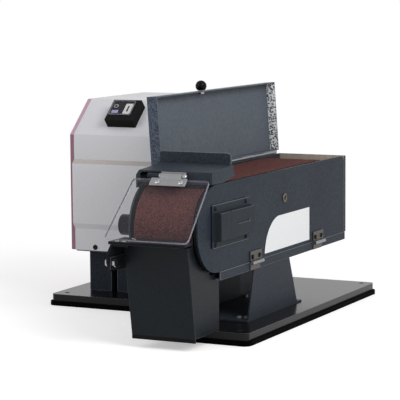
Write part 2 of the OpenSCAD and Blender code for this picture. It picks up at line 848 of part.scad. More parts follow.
// Outline of a loop round both wheels, lying g outside them
function belt_outline(g) = let (r0 = wheel_r + g, r1 = drum_r + g, lean = asin((r0 - r1) / axis_gap),
    up = line_angle + 90 - lean, down = line_angle - 90 + lean)
    concat(arc([wheel_y, wheel_z], r0, up, 360 + down, arc_steps),
        arc([drum_y, drum_z], r1, down, up, arc_steps));

module grinding_belt() {
    color([0.37, 0.22, 0.18])
    along_x(belt_x0, belt_x1) difference() {
        polygon(belt_outline(belt_gap + belt_t));
        polygon(belt_outline(belt_gap));
    }
}

platen_y = [-140, 140];
platen_t = 8;
platen_top = belt_top - belt_t - play;
platen_inset = 2;
ledge_y = [platen_y[0] + 12, platen_y[1] - 32];
ledge_l = 20;
ledge_x1 = belt_x1 - 30;

// Flat steel bed under the upper run, held by two ledges on the left wall
module belt_platen() {
    color([0.55, 0.55, 0.56]) {
        block([belt_x0 + platen_inset, platen_y[0], platen_top - platen_t],
            [belt_x1 - platen_inset, platen_y[1], platen_top]);
        for (y = ledge_y) block([unit_x0 + sheet, y, platen_top - 2 * platen_t],
            [ledge_x1, y + ledge_l, platen_top - platen_t]);
    }
}

// Spark box and work rest -------------------------------------------------------------------

box_x0 = unit_x0 + rail_w;
box_x1 = unit_x1 - rail_w;
box_z = 20.5;
box_lip_z = 14;
box_t = 2;
box_low_y = -291.5;
box_high_y = -315;
box_high_z = 163.5;
box_back_y = -208;
box_back_z = 112;
box_cut_r = 66;
box_back_wall_z = 101;

// Side outline of the spark box, cut to the door's round front
module box_side(i) {
    difference() {
        polygon([[box_low_y + i, box_z + i], [box_high_y + i, box_high_z], [box_back_y - i, box_high_z],
            [box_back_y - i, box_z + i]]);
        translate([door_round_y, wall_mid_z]) circle(box_cut_r);
        translate([box_back_y - box_cut_r / 2, box_back_z]) square(box_cut_r);
    }
}

// Open box that catches the sparks and dust, with a lip that hangs in front of the base
module spark_box() {
    color([0.14, 0.16, 0.19])
    difference() {
        union() {
            along_x(box_x0, box_x1) box_side(0);
            block([box_x0, box_low_y, box_lip_z], [box_x1, box_low_y + box_t, box_z + 1]);
        }
        along_x(box_x0 + box_t, box_x1 - box_t) polygon([[box_low_y + box_t, box_z + box_t],
            [box_high_y + box_t, box_high_z + 1], [box_back_y + 1, box_high_z + 1],
            [box_back_y + 1, box_back_wall_z], [box_back_y - box_t, box_back_wall_z],
            [box_back_y - box_t, box_z + box_t]]);
    }
}

rest_t = 4.5;
rest_x = [unit_x0, 190];
rest_y = [-345, -293.5];
rest_corner_r = 16;
rest_screw_r = 2;
rest_screw_head = [3.6, 1.1];
rest_screw_places = [[78, -338], [90, -338], [90, -306]];
leg_plate_x = [70, 73];
leg_plate_y = [-359, -303];
leg_low_z = 127;
leg_corner = 14;
leg_flange = [100, -296];
leg_flange_t = 3;
leg_slot_r = 3.4;
rest_bolt_y = -348;
rest_bolt_z = 140;
rest_travel = 20;

module rest_table() {
    color([0.1, 0.11, 0.13])
    translate([0, 0, rest_z - rest_t]) linear_extrude(rest_t) difference() {
        union() {
            translate([rest_x[0], rest_y[0]])
                square([rest_x[1] - rest_x[0] - rest_corner_r, rest_y[1] - rest_y[0]]);
            round_rect([rest_x[0], rest_y[0]], [rest_x[1], rest_y[1]], rest_corner_r);
        }
        for (p = rest_screw_places) translate(p) circle(rest_screw_r);
    }
}

// Angle bracket with a long slot for setting the rest's distance from the belt
module rest_leg() {
    color([0.05, 0.05, 0.06])
    difference() {
        union() {
            along_x(leg_plate_x[0], leg_plate_x[1]) polygon([[leg_plate_y[0], leg_low_z + leg_corner],
                [leg_plate_y[0] + leg_corner / 2, leg_low_z], [leg_plate_y[1], leg_low_z],
                [leg_plate_y[1], rest_z - rest_t], [leg_plate_y[0] + leg_corner, rest_z - rest_t],
                [leg_plate_y[0], rest_z - rest_t - leg_corner]]);
            block([leg_plate_x[1] - eps, rest_y[0], rest_z - rest_t - leg_flange_t],
                [leg_flange.x, leg_flange.y, rest_z - rest_t]);
        }
        along_x(leg_plate_x[0] - 1, leg_plate_x[1] + 1)
            slot(rest_bolt_y, rest_bolt_y + rest_travel + 1, rest_bolt_z, leg_slot_r);
        for (p = rest_screw_places)
            translate([p.x, p.y, rest_z - rest_travel]) cylinder(h = rest_travel, r = rest_screw_r);
    }
}

carrier_y = [-356, -284];
carrier_z = [131, 149];
rest_bolt_r = 3;
rest_nut = [5, 6];

module rest_carrier() {
    color([0.05, 0.05, 0.06])
    difference() {
        block([leg_plate_x[1] + play, carrier_y[0], carrier_z[0]], [box_x0, carrier_y[1], carrier_z[1]]);
        bar_x(leg_plate_x[1], box_x0 + 1, rest_bolt_y, rest_bolt_z, rest_bolt_r);
    }
}

module rest_bolt() {
    color([0.7, 0.7, 0.7]) {
        bar_x(leg_plate_x[0] - play - eps, box_x0 + 3, rest_bolt_y, rest_bolt_z, rest_bolt_r);
        for (x = [leg_plate_x[0] - play - rest_nut[0], box_x0])
            translate([x, rest_bolt_y, rest_bolt_z]) nut_x(rest_nut[0], rest_nut[1]);
    }
}

module rest_screws() {
    color([0.7, 0.7, 0.7])
    for (p = rest_screw_places) translate([p.x, p.y, 0]) {
        translate([0, 0, rest_z]) cylinder(h = rest_screw_head[1], r = rest_screw_head[0]);
        translate([0, 0, rest_z - rest_t - leg_flange_t])
            cylinder(h = rest_t + leg_flange_t + eps, r = rest_screw_r);
    }
}

// Shield ------------------------------------------------------------------------------------

shield_y = -258;
shield_z = 258;
shield_top_w = 131;
shield_low_w = 142;
shield_screw_x = [111, 151];
shield_screw_y = -8;
shield_screw_r = 2.5;
shield_head = [4.4, 2];
pin_y = -257.5;
pin_z = 264.5;
pin_r = 2.5;
ear_r = 4.4;
ear_x = [110, 153];
ear_t = 2.5;
arm_x = [ear_x[0] + ear_t + play, ear_x[1] - ear_t - play];
bracket_t = 2.5;
bracket_z = [cheek_z, 271];
sleeve_x = 90;
plate_x = [98, 160];
plate_y = [-15, 0.2];
plate_z = [shield_t + fit, shield_t + 2.2];
neck_x = [arm_x[0] + 1, arm_x[1] - 1];
neck_y = 4.5;

// Runs children in a frame on the shield's top edge, with -Y down its slope and Z outwards
module on_shield() {
    translate([unit_x, shield_y, shield_z]) rotate([shield_angle, 0, 0]) children();
}

module shield() {
    color([0.8, 0.82, 0.95, 0.35])
    on_shield() linear_extrude(shield_t) difference() {
        polygon([[-shield_top_w / 2, 0], [shield_top_w / 2, 0], [shield_low_w / 2, -shield_l],
            [-shield_low_w / 2, -shield_l]]);
        for (x = shield_screw_x) translate([x - unit_x, shield_screw_y]) circle(shield_screw_r);
    }
}

// Plate on the hood with two ears for the tilt pin
module shield_bracket() {
    color([0.5, 0.5, 0.5])
    difference() {
        union() {
            block([ear_x[0], hood_front_y - bracket_t, bracket_z[0]], [ear_x[1], hood_front_y, bracket_z[1]]);
            for (x = [ear_x[0], ear_x[1] - ear_t]) along_x(x, x + ear_t) {
                translate([pin_y, pin_z]) circle(ear_r);
                translate([pin_y, pin_z - ear_r]) square([hood_front_y - pin_y, 2 * ear_r]);
            }
        }
        bar_x(ear_x[0] - 1, ear_x[1] + 1, pin_y, pin_z, pin_r);
    }
}

// Barrel on the tilt pin with a plate that clamps the shield from the front
module shield_arm() {
    color([0.55, 0.55, 0.55])
    difference() {
        union() {
            bar_x(arm_x[0], arm_x[1], pin_y, pin_z, ear_r);
            on_shield() translate([-unit_x, 0, 0]) {
                block([plate_x[0], plate_y[0], plate_z[0]], [plate_x[1], plate_y[1], plate_z[1]]);
                block([neck_x[0], plate_y[0] / 2, plate_z[0]], [neck_x[1], neck_y, plate_z[1]]);
            }
        }
        bar_x(arm_x[0] - 1, arm_x[1] + 1, pin_y, pin_z, pin_r + fit);
        on_shield() for (x = shield_screw_x)
            translate([x - unit_x, shield_screw_y, shield_t]) cylinder(h = shield_t, r = shield_screw_r);
    }
}

// Tilt pin with its clamping sleeve and domed end
module shield_pin() {
    color([0.4, 0.45, 0.5]) {
        bar_x(sleeve_x, ear_x[1] + 1, pin_y, pin_z, pin_r);
        bar_x(sleeve_x, ear_x[0], pin_y, pin_z, ear_r);
        difference() {
            translate([ear_x[1], pin_y, pin_z]) sphere(ear_r);
            translate([ear_x[1] - 2 * ear_r, pin_y - ear_r, pin_z - ear_r]) cube(2 * ear_r);
        }
    }
}

// Screws from the front with their nuts behind
module shield_screws() {
    color([0.75, 0.75, 0.75])
    on_shield() for (x = shield_screw_x) translate([x - unit_x, shield_screw_y, 0]) {
        translate([0, 0, plate_z[1]]) cylinder(h = shield_head[1], r = shield_head[0]);
        translate([0, 0, -shield_head[1]]) cylinder(h = shield_head[1], r = shield_head[0], $fn = 6);
        translate([0, 0, -eps]) cylinder(h = plate_z[1] + 2 * eps, r = shield_screw_r);
    }
}

// Motor -------------------------------------------------------------------------------------

stator_r = 72;
stator_x = [-150, -10];
end_shield_t = 10;
rotor_r = 44;
rotor_gap = 0.6;
foot_x = [stator_x[0] + 10, stator_x[1] - 40];
foot_l = 30;
foot_w = 60;
foot_h = 50;
fan_x = [-184, -168];
fan_hub_r = 20;
fan_disc_t = 3;
fan_r = 60;
blade_r = [15, 57];
blade_t = 2;
blade_n = 8;
shaft_x0 = -186;
shaft_x1 = drum_end_x;

module motor_stator() {
    color([0.25, 0.3, 0.36])
    difference() {
        union() {
            bar_x(stator_x[0], stator_x[1], drum_y, drum_z, stator_r);
            for (x = foot_x) block([x, drum_y - foot_w, housing_z],
                [x + foot_l, drum_y + foot_w, housing_z + foot_h]);
        }
        bar_x(stator_x[0] - 1, stator_x[1] + 1, drum_y, drum_z, rotor_r + rotor_gap);
    }
}

module motor_end_shields() {
    color([0.6, 0.6, 0.62])
    for (x = [stator_x[0] - end_shield_t, stator_x[1]]) difference() {
        bar_x(x, x + end_shield_t, drum_y, drum_z, stator_r);
        bar_x(x - 1, x + end_shield_t + 1, drum_y, drum_z, shaft_r + fit);
    }
}

module motor_rotor() {
    color([0.5, 0.5, 0.52]) {
        bar_x(stator_x[0] + 4, stator_x[1] - 4, drum_y, drum_z, rotor_r);
        bar_x(shaft_x0, shaft_x1, drum_y, drum_z, shaft_r);
        bar_x(shaft_x1 - eps, shaft_x1 + 2 * drum_nut_t, drum_y, drum_z, shaft_tip_r);
    }
}

module motor_fan() {
    color([0.1, 0.1, 0.1])
    difference() {
        union() {
            bar_x(fan_x[0], fan_x[1], drum_y, drum_z, fan_hub_r);
            bar_x(fan_x[1] - fan_disc_t, fan_x[1], drum_y, drum_z, fan_r);
            for (i = [1 : blade_n])
                translate([fan_x[0], drum_y, drum_z]) rotate([i * 360 / blade_n, 0, 0])
                    block([0, -blade_t / 2, blade_r[0]], [fan_x[1] - fan_x[0] - 1, blade_t / 2, blade_r[1]]);
        }
        bar_x(fan_x[0] - 1, fan_x[1] + 1, drum_y, drum_z, shaft_r);
    }
}

// Housing -----------------------------------------------------------------------------------

housing_t = 3;
slant_tan = (roof_z - fold_z) / slant_y;
slant_angle = atan(slant_tan);
band_z = [134, 144, 248.5, 256];
screw_place = [-164, 102];
screw_r = 2.5;
screw_head_r = 4.5;
shaft_hole_r = 20;
skew = tan((90 - slant_angle) / 2);
roof_skew = tan(slant_angle / 2);

// Housing outline moved inwards by i, with its middle band standing o forward
function housing_outline(i, o) = [
    [housing_front_y + i, housing_z - (i > 0 ? 1 : 0)],
    [housing_front_y + i, band_z[0]], [housing_front_y + i - o, band_z[1]],
    [housing_front_y + i - o, band_z[2]], [housing_front_y + i, band_z[3]],
    [housing_front_y + i, fold_z - i * skew],
    [housing_front_y + slant_y + i * roof_skew, roof_z - i],
    [housing_back_y - slant_y - i * roof_skew, roof_z - i],
    [housing_back_y - i, fold_z - i * skew], [housing_back_y - i, housing_z - (i > 0 ? 1 : 0)]];

switch_x = -117;
switch_w = 55;
switch_l = 49;
switch_h = 18;
switch_start = 20;
switch_lap = 4;
switch_floor = 3;
window_x = [-25, 18.5];
window_y = [12, 46.3];
window_t = 2;
key_w = 15;
key_l = 25;
key_r = 2;
key_gap = 0.4;
key_h = 17;
key_x = [-15.5, 7.7];
key_y = 28.5;
press = 3;

// Runs children in a frame on the slanted face: X to the right, Y up the slope, Z outwards
module on_slant() {
    translate([switch_x, housing_front_y, fold_z]) rotate([slant_angle, 0, 0])
        translate([0, switch_start, 0]) children();
}

module housing_cover() {
    color([0.87, 0.87, 0.88])
    difference() {
        along_x(housing_x0 + panel_t, housing_x1 - panel_t) polygon(housing_outline(0, band_out));
        along_x(housing_x0, housing_x1) polygon(housing_outline(housing_t, band_out));
        on_slant() block([-switch_w / 2 + switch_lap, switch_lap, -switch_h],
            [switch_w / 2 - switch_lap, switch_l - switch_lap, switch_h]);
        bar_y(housing_front_y - 1, housing_front_y + housing_t + 1, screw_place.x, screw_place.y, screw_r);
    }
}

module housing_screws() {
    color([0.7, 0.7, 0.7]) {
        bar_y(housing_front_y - 2, housing_front_y, screw_place.x, screw_place.y, screw_head_r);
        bar_y(housing_front_y, housing_front_y + 8, screw_place.x, screw_place.y, screw_r);
    }
}

module left_end_panel() {
    color([0.3, 0.05, 0.1])
    along_x(housing_x0, housing_x0 + panel_t) polygon(housing_outline(0, 0));
}

module right_end_panel() {
    color([0.3, 0.05, 0.1])
    difference() {
        along_x(housing_x1 - panel_t, housing_x1) polygon(housing_outline(0, 0));
        bar_x(housing_x1 - panel_t - 1, housing_x1 + 1, drum_y, drum_z, shaft_hole_r);
    }
}

// Switch ------------------------------------------------------------------------------------

module switch_box() {
    color([0.25, 0.25, 0.27])
    on_slant() difference() {
        block([-switch_w / 2, 0, 0], [switch_w / 2, switch_l, switch_h]);
        for (x = key_x) translate([x, key_y, switch_floor]) linear_extrude(switch_h) key_outline(key_gap);
    }
}

// Face of a switch key, grown outwards by g
module key_outline(g) {
    round_rect([-key_w / 2 - g, -key_l / 2 - g], [key_w / 2 + g, key_l / 2 + g], key_r + g);
}

module switch_key(x) {
    on_slant() translate([x, key_y, switch_floor + press + play])
        linear_extrude(key_h - switch_floor - press) key_outline(0);
}

module on_button() {
    color([0.75, 0.77, 0.75]) switch_key(key_x[1]);
}

module off_button() {
    color([0.08, 0.08, 0.09]) switch_key(key_x[0]);
}

// Clear flexible cover over both keys
module switch_window() {
    color([0.85, 0.85, 0.9, 0.4])
    on_slant() difference() {
        block([window_x[0], window_y[0], switch_h], [window_x[1], window_y[1], switch_h + window_t]);
        block([window_x[0] + window_t, window_y[0] + window_t, switch_h - 1],
            [window_x[1] - window_t, window_y[1] - window_t, switch_h + window_t / 2]);
    }
}

base_plate();
base_edging();
motor_pedestal();
unit_pedestal();
pedestal_bolts();
floor_tray();
unit_frame();
side_door();
door_seal();
door_hinge_leaves();
frame_hinge_leaves();
door_hinge_pins();
door_hinge_screws();
door_latch();
latch_post();
inspection_cover();
inspection_screws();
label_plate();
hood();
stop_plate();
top_lid();
lid_hinge_leaf();
wall_hinge_leaf();
lid_hinge_pin();
lid_knob();
knob_stud();
wheel_hub();
wheel_tyre();
wheel_bearings();
wheel_axle();
tension_carriage();
tension_rod();
disc_springs();
drive_drum();
drum_nut();
grinding_belt();
belt_platen();
spark_box();
rest_table();
rest_leg();
rest_carrier();
rest_bolt();
rest_screws();
shield();
shield_bracket();
shield_arm();
shield_pin();
shield_screws();
motor_stator();
motor_end_shields();
motor_rotor();
motor_fan();
housing_cover();
left_end_panel();
right_end_panel();
housing_screws();
switch_box();
switch_window();
on_button();
off_button();
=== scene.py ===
# %% [markdown]
# # A bench belt grinder
# The machine has a powder-coated belt unit with an open top lid, a glossy folded base, a pale motor
# housing and a clear shield over the contact wheel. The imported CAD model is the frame: its sheets,
# wheels and screws are in place already. This notebook gives every surface its finish and adds the
# bent, rounded and moulded pieces that a flat solid can't show.

# %% Load the frame
import json
import math
import bmesh
import bpy
import numpy as np
from mathutils import Matrix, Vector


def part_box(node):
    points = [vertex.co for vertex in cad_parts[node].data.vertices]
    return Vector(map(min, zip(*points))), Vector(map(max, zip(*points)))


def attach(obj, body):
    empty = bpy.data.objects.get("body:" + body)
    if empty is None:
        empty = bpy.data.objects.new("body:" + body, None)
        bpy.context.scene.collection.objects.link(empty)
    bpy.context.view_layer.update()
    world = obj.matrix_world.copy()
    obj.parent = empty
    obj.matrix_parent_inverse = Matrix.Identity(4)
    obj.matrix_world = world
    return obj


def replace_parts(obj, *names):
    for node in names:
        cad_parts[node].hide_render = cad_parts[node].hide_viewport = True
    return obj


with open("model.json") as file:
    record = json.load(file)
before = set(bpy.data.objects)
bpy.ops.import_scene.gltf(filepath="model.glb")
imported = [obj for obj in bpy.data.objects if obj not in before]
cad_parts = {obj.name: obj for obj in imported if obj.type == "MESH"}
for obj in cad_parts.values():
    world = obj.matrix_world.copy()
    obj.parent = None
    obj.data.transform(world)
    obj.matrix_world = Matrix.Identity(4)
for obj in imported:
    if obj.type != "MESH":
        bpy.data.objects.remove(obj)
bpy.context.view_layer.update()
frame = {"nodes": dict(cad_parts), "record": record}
nodes = frame["nodes"]
bodies = frame["record"]["behaviour"]["bodies"]
body_of_node = {node: body for body, members in bodies.items() for node in members}

# %% [markdown]
# ## Camera
# A long lens stands three metres away, to the right of the front and a little above the machine. A camera
# can be turned by hand or by a constraint. Here its place and its three turns are plain numbers, and
# a short function makes its three axes from them, so the view is the same on every run.

# %% Set the camera
def look(yaw, pitch, roll):
    """Right, up and back vectors of a camera turned left by yaw, down by pitch and round by roll."""
    ahead = np.array([-math.sin(yaw) * math.cos(pitch), math.cos(yaw) * math.cos(pitch), -math.sin(pitch)])
    level = np.array([math.cos(yaw), math.sin(yaw), 0.0])
    upright = np.cross(level, ahead)
    right = math.cos(roll) * level + math.sin(roll) * upright
    return right, math.cos(roll) * upright - math.sin(roll) * level, -ahead


LENS_MM = 167.3
CAMERA_PLACE = (1.430, -2.780, 0.5583)
YAW, PITCH, ROLL = 0.46054, 0.11589, -0.00775
NEAREST, FARTHEST = 0.1, 50.0
scene = bpy.context.scene
camera = bpy.data.objects.new("camera", bpy.data.cameras.new("camera"))
scene.collection.objects.link(camera)
scene.camera = camera
camera.data.lens = LENS_MM
camera.data.clip_start, camera.data.clip_end = NEAREST, FARTHEST
turned = np.eye(4)
turned[:3, :3] = np.column_stack(look(YAW, PITCH, ROLL))
turned[:3, 3] = CAMERA_PLACE
camera.matrix_world = Matrix(turned.tolist())
print("camera at", [round(v, 3) for v in camera.location])

# %% [markdown]
# ## Shader maths
# A finish is a web of nodes, and wiring it by hand hides what it computes. A small class wraps a socket,
# so that a pattern reads as arithmetic: each sum or product quietly adds one Math node.

# %% Sockets as numbers
class Link:
    """A shader socket that can be added, multiplied and compared like a number."""

    def __init__(self, finish, socket):
        self.finish, self.socket = finish, socket

    def _math(self, operation, a, b):
        return self.finish.node("ShaderNodeMath", {"operation": operation}, {0: a, 1: b})

    def __add__(self, other):
        return self._math("ADD", self, other)

    def __radd__(self, other):
        return self._math("ADD", other, self)

    def __sub__(self, other):
        return self._math("SUBTRACT", self, other)

    def __rsub__(self, other):
        return self._math("SUBTRACT", other, self)

    def __mul__(self, other):
        return self._math("MULTIPLY", self, other)

    def __rmul__(self, other):
        return self._math("MULTIPLY", other, self)

    def __gt__(self, other):
        return self._math("GREATER_THAN", self, other)

    def __lt__(self, other):
        return self._math("LESS_THAN", self, other)


print("sockets can be added, multiplied and compared")

# %% [markdown]
# ## A material under construction
# Every finish of the machine starts as one Principled shader. The class below holds it with its nodes and
# offers the few patterns that paint, metal and rubber need. Any other node comes from `Finish.node`,
# which takes its settings first and then its inputs.

# %% Finish and its patterns
class Finish:
    """A material under construction: a Principled shader and the nodes that feed it."""

    def __init__(self, name, color, roughness, **fixed):
        self.material = bpy.data.materials.new(name)
        self.material.use_nodes = True
        self.tree = self.material.node_tree
        self.shader = self.tree.nodes["Principled BSDF"]
        self.set("Base Color", color)
        self.set("Roughness", roughness)
        for key, value in fixed.items():
            self.set(key.replace("_", " "), value)
        self.place = self.node("ShaderNodeTexCoord", {}, {}, "Object")

    def node(self, kind, settings, inputs, output=0):
        """Adds a node, applies its settings, fills its inputs and returns one output."""
        made = self.tree.nodes.new(kind)
        for key, value in settings.items():
            setattr(made, key, value)
        for key, value in inputs.items():
            self._feed(made.inputs[key], value)
        return Link(self, made.outputs[output])

    def _feed(self, socket, value):
        """Links a socket, or sets its value; a colour given as three numbers gets its alpha."""
        if isinstance(value, Link):
            self.tree.links.new(value.socket, socket)
        elif hasattr(socket.default_value, "__len__") and len(socket.default_value) == 4 and len(value) == 3:
            socket.default_value = (*value, 1.0)
        else:
            socket.default_value = value

    def set(self, key, value):
        """Feeds one socket of the Principled shader."""
        self._feed(self.shader.inputs[key], value)
        return self

    def noise(self, scale, detail=3.0, rough=0.5, stretch=(1.0, 1.0, 1.0)):
        """Fractal noise in cycles per metre, from 0 to 1."""
        placed = self.node("ShaderNodeMapping", {}, {"Vector": self.place, "Scale": stretch})
        return self.node("ShaderNodeTexNoise", {},
                         {"Vector": placed, "Scale": scale, "Detail": detail, "Roughness": rough})

    def cells(self, scale):
        """Distance inside Voronoi cells, in cells per metre."""
        return self.node("ShaderNodeTexVoronoi", {}, {"Vector": self.place, "Scale": scale})

    def spread(self, value, low, high, out_low=0.0, out_high=1.0):
        """Maps low..high to out_low..out_high and clamps."""
        ends = {"From Min": low, "From Max": high, "To Min": out_low, "To Max": out_high}
        return self.node("ShaderNodeMapRange", {"clamp": True}, {"Value": value, **ends})

    def mix(self, factor, a, b):
        """Colour a where factor is 0 and b where it is 1."""
        return self.node("ShaderNodeMix", {"data_type": "RGBA"}, {0: factor, 6: a, 7: b}, 2)

    def bump(self, height, strength, distance):
        """Tilts the surface's normal by a height in 0..1 that is distance metres tall."""
        normal = self.node("ShaderNodeBump", {},
                           {"Height": height, "Strength": strength, "Distance": distance})
        self.set("Normal", normal)
        return self


print("shader helpers ready")

# %% [markdown]
# ## Finishes
# The belt unit wears a fine-textured anthracite powder coat, the lid's flanges a glossy hammer coat, the
# base a glossy enamel. A picture of each paint could be wrapped round the sheets, but it would stretch at
# the bends, so each coat is noise on the object's own coordinates: a slow change of colour mixed
# with the millimetre grain that the coat really has. The paler edge coats are painted highlights for the
# rounded edges.

# %% Recipes for paint
SPECK_CONTRAST = 2.2


def powder_coat(name, color, grain=900.0, height=0.00012, roughness=0.42, drift=0.12, shine=0.06):
    """Powder coat: orange-peel grain about a millimetre wide; its colour drifts by drift, up and down."""
    paint = Finish(name, color, roughness, Specular_IOR_Level=shine)
    dark = [c * (1.0 - SPECK_CONTRAST * drift) for c in color]
    pale = [c * (1.0 + SPECK_CONTRAST * drift) for c in color]
    cloud = paint.noise(9.0, 3.0)
    fine = paint.noise(grain, 2.0)
    speck = paint.spread(paint.noise(0.36 * grain, 3.0, 0.8), 0.3, 0.7)
    paint.set("Base Color", paint.mix(paint.spread(cloud * 0.35 + speck * 0.65, 0.32, 0.68), dark, pale))
    paint.set("Roughness", paint.spread(fine, 0.3, 0.7, roughness - 0.07, roughness + 0.1))
    return paint.bump(fine, 0.55, height)


def gloss_enamel(name, color, roughness=0.12, ripple=60.0, height=0.00005, skin=0.6, shine=0.5):
    """Smooth enamel with a faint ripple, a little dust and a clear skin."""
    paint = Finish(name, color, roughness, Coat_Weight=skin, Coat_Roughness=0.05, Specular_IOR_Level=shine)
    dust = paint.spread(paint.noise(220.0, 4.0, 0.7), 0.55, 0.8)
    paint.set("Base Color", paint.mix(dust * 0.15, color, [min(1.0, c * 1.5 + 0.006) for c in color]))
    paint.set("Roughness", paint.spread(dust, 0.0, 1.0, roughness, roughness + 0.04))
    return paint.bump(paint.noise(ripple, 2.0), 0.3, height)


def hammer_coat(name, color, pale, cell=420.0, roughness=0.3):
    """Hammer finish: small round dimples in a glossy grey coat, their rims painted pale; a bright pale makes
    them painted glints.
    """
    paint = Finish(name, color, roughness, Specular_IOR_Level=0.2)
    dimple = paint.cells(cell)
    rim = paint.spread(dimple * 0.6 + paint.noise(cell, 2.0) * 0.4, 0.36, 0.58)
    paint.set("Base Color", paint.mix(rim, color, pale))
    return paint.bump(rim, 0.9, 0.0008)


print("recipes for powder coat, enamel and hammer coat ready")

# %% Mix the paints
frame_coat = powder_coat("frame_coat", (0.026, 0.032, 0.042))
hood_coat = powder_coat("hood_coat", (0.032, 0.040, 0.051))
door_coat = powder_coat("door_coat", (0.0172, 0.0242, 0.0355), roughness=0.38, drift=0.16)
cover_coat = powder_coat("cover_coat", (0.014, 0.020, 0.027), roughness=0.38)
box_coat = powder_coat("box_coat", (0.0062, 0.0088, 0.0118), roughness=0.42, shine=0.13)
lid_coat = powder_coat("lid_coat", (0.105, 0.122, 0.145), grain=500.0, height=0.00004, roughness=0.5,
                       drift=0.05)
lid_edge_coat = hammer_coat("lid_edge_coat", (0.018, 0.025, 0.040), (0.085, 0.105, 0.145))
# Painted glints: a near-black coat whose dimple rims are near white, for the light that the rear flange
# reflects.
painted_glint_coat = hammer_coat("painted_glint_coat", (0.006, 0.008, 0.012), (0.95, 0.98, 1.0), 300.0)
# Paler coats for the rounded edges: painted highlights.
edge_highlight_coat = powder_coat("edge_highlight_coat", (0.13, 0.15, 0.18), roughness=0.3)
box_edge_highlight = powder_coat("box_edge_highlight", (0.035, 0.040, 0.046), roughness=0.35)
lid_edge_highlight = powder_coat("lid_edge_highlight", (0.42, 0.45, 0.50), roughness=0.3)
black_edge_highlight = powder_coat("black_edge_highlight", (0.10, 0.11, 0.12), roughness=0.3)
base_enamel = gloss_enamel("base_enamel", (0.005, 0.005, 0.006), 0.25, height=0.00002, skin=0.04, shine=0.16)
base_edge_highlight = gloss_enamel("base_edge_highlight", (0.15, 0.17, 0.205), 0.3, skin=0.1, shine=0.3)
satin_black = powder_coat("satin_black", (0.009, 0.010, 0.012), grain=1200.0, height=0.00005, roughness=0.35)
white_enamel = powder_coat("white_enamel", (0.66, 0.66, 0.69), grain=700.0, height=0.00002, roughness=0.38,
                           drift=0.01, shine=0.4)
white_edge_highlight = powder_coat("white_edge_highlight", (0.80, 0.80, 0.84), grain=700.0, height=0.00002, drift=0.01,
                           shine=0.4)
# Painted shade: a warm grey, darker than the white enamel, for the slanted step across the housing's front.
step_shade_enamel = powder_coat("step_shade_enamel", (0.52, 0.485, 0.460), grain=700.0, height=0.00001, roughness=0.5,
                          drift=0.02)
# Painted highlight: a paler copy of the end panel's red for its faces that look up and to the front.
red_panel_highlight = gloss_enamel("red_panel_highlight", (0.46, 0.27, 0.37), 0.25)
red_enamel = gloss_enamel("red_enamel", (0.235, 0.075, 0.130), 0.3)
machine_enamel = gloss_enamel("machine_enamel", (0.05, 0.08, 0.11), 0.3)
print("paints made")

# %% [markdown]
# ## Metals
# Metals are turned, plated, cast or cold-rolled. Turning marks are rings round the X axis and rolling
# marks run along the sheet, so both are noise that changes fast along one axis and slowly along the
# others. Plated screws get the same fine noise in every direction.

# %% Metals
def steel(name, color, roughness, streak=(1.0, 40.0, 1.0), scale=60.0):
    """Metal with faint streaks along one axis that vary its tone and its gloss."""
    metal = Finish(name, color, roughness, Metallic=1.0)
    streaks = metal.noise(scale, 4.0, 0.6, streak)
    metal.set("Base Color", metal.mix(metal.spread(streaks, 0.3, 0.7), [c * 0.8 for c in color], color))
    metal.set("Roughness", metal.spread(streaks, 0.3, 0.7, roughness * 0.8, roughness * 1.25))
    return metal.bump(streaks, 0.2, 0.00004)


# Zinc plating, also put on the hinge barrels as a painted highlight.
zinc_and_barrel_sheen = steel("zinc_and_barrel_sheen", (0.30, 0.31, 0.33), 0.38)
bright_steel = steel("bright_steel", (0.42, 0.42, 0.43), 0.24, (1.0, 1.0, 1.0), 400.0)
bare_sheet = steel("bare_sheet", (0.30, 0.305, 0.31), 0.42, (30.0, 1.0, 1.0), 20.0)
turned_steel = steel("turned_steel", (0.36, 0.36, 0.38), 0.3, (60.0, 1.0, 1.0), 30.0)
cast_aluminium = steel("cast_aluminium", (0.62, 0.62, 0.64), 0.4, (40.0, 1.0, 1.0), 30.0)
blued_steel = steel("blued_steel", (0.020, 0.025, 0.034), 0.35, (40.0, 1.0, 1.0), 30.0)
dark_steel = steel("dark_steel", (0.016, 0.015, 0.015), 0.3, (1.0, 1.0, 1.0), 400.0)
# Painted light: a bright warm steel for the inside of the rear wall, where the lamp above lights it.
lamp_lit_sheet = steel("lamp_lit_sheet", (0.90, 0.79, 0.66), 0.55, (30.0, 1.0, 1.0), 20.0)
hinge_bronze = steel("hinge_bronze", (0.105, 0.093, 0.080), 0.42, (1.0, 20.0, 1.0), 60.0)
brass = steel("brass", (0.24, 0.185, 0.12), 0.3, (1.0, 1.0, 1.0), 300.0)
print("metals made")

# %% [markdown]
# ## Belt, rubber and plastics
# The belt is cloth with grit bonded to it: a brown-red ground, darker grains, and here and there a
# bright crystal. The grains are too many to model, so they are cells in a Bump. Rubber and plastic are
# nearly black, and mostly their gloss changes.

# %% Belt, rubber and plastics
def grit_cloth(name, ground, dark, bright):
    """Coated abrasive: half-millimetre grains as Voronoi cells over a mottled ground."""
    cloth = Finish(name, ground, 0.85, Specular_IOR_Level=0.1)
    grains = cloth.cells(1500.0)
    mottle = cloth.noise(420.0, 4.0, 0.7)
    tone = cloth.mix(cloth.spread(mottle, 0.4, 0.6), dark, ground)
    spark = cloth.noise(900.0, 1.0) > 0.68
    cloth.set("Base Color", cloth.mix(spark * 0.5, tone, bright))
    return cloth.bump(1.0 - grains, 0.8, 0.0003)


def plain_moulding(name, color, roughness, scale=300.0, height=0.00005, **fixed):
    """Moulded plastic or rubber: a fine spark-eroded grain that changes gloss and tone a little."""
    stuff = Finish(name, color, roughness, **fixed)
    grain = stuff.noise(scale, 3.0)
    dark, pale = [c * 0.85 for c in color], [c * 1.15 for c in color]
    stuff.set("Base Color", stuff.mix(stuff.spread(grain, 0.3, 0.7), dark, pale))
    stuff.set("Roughness", stuff.spread(grain, 0.3, 0.7, roughness * 0.85, min(1.0, roughness * 1.2)))
    return stuff.bump(grain, 0.4, height)


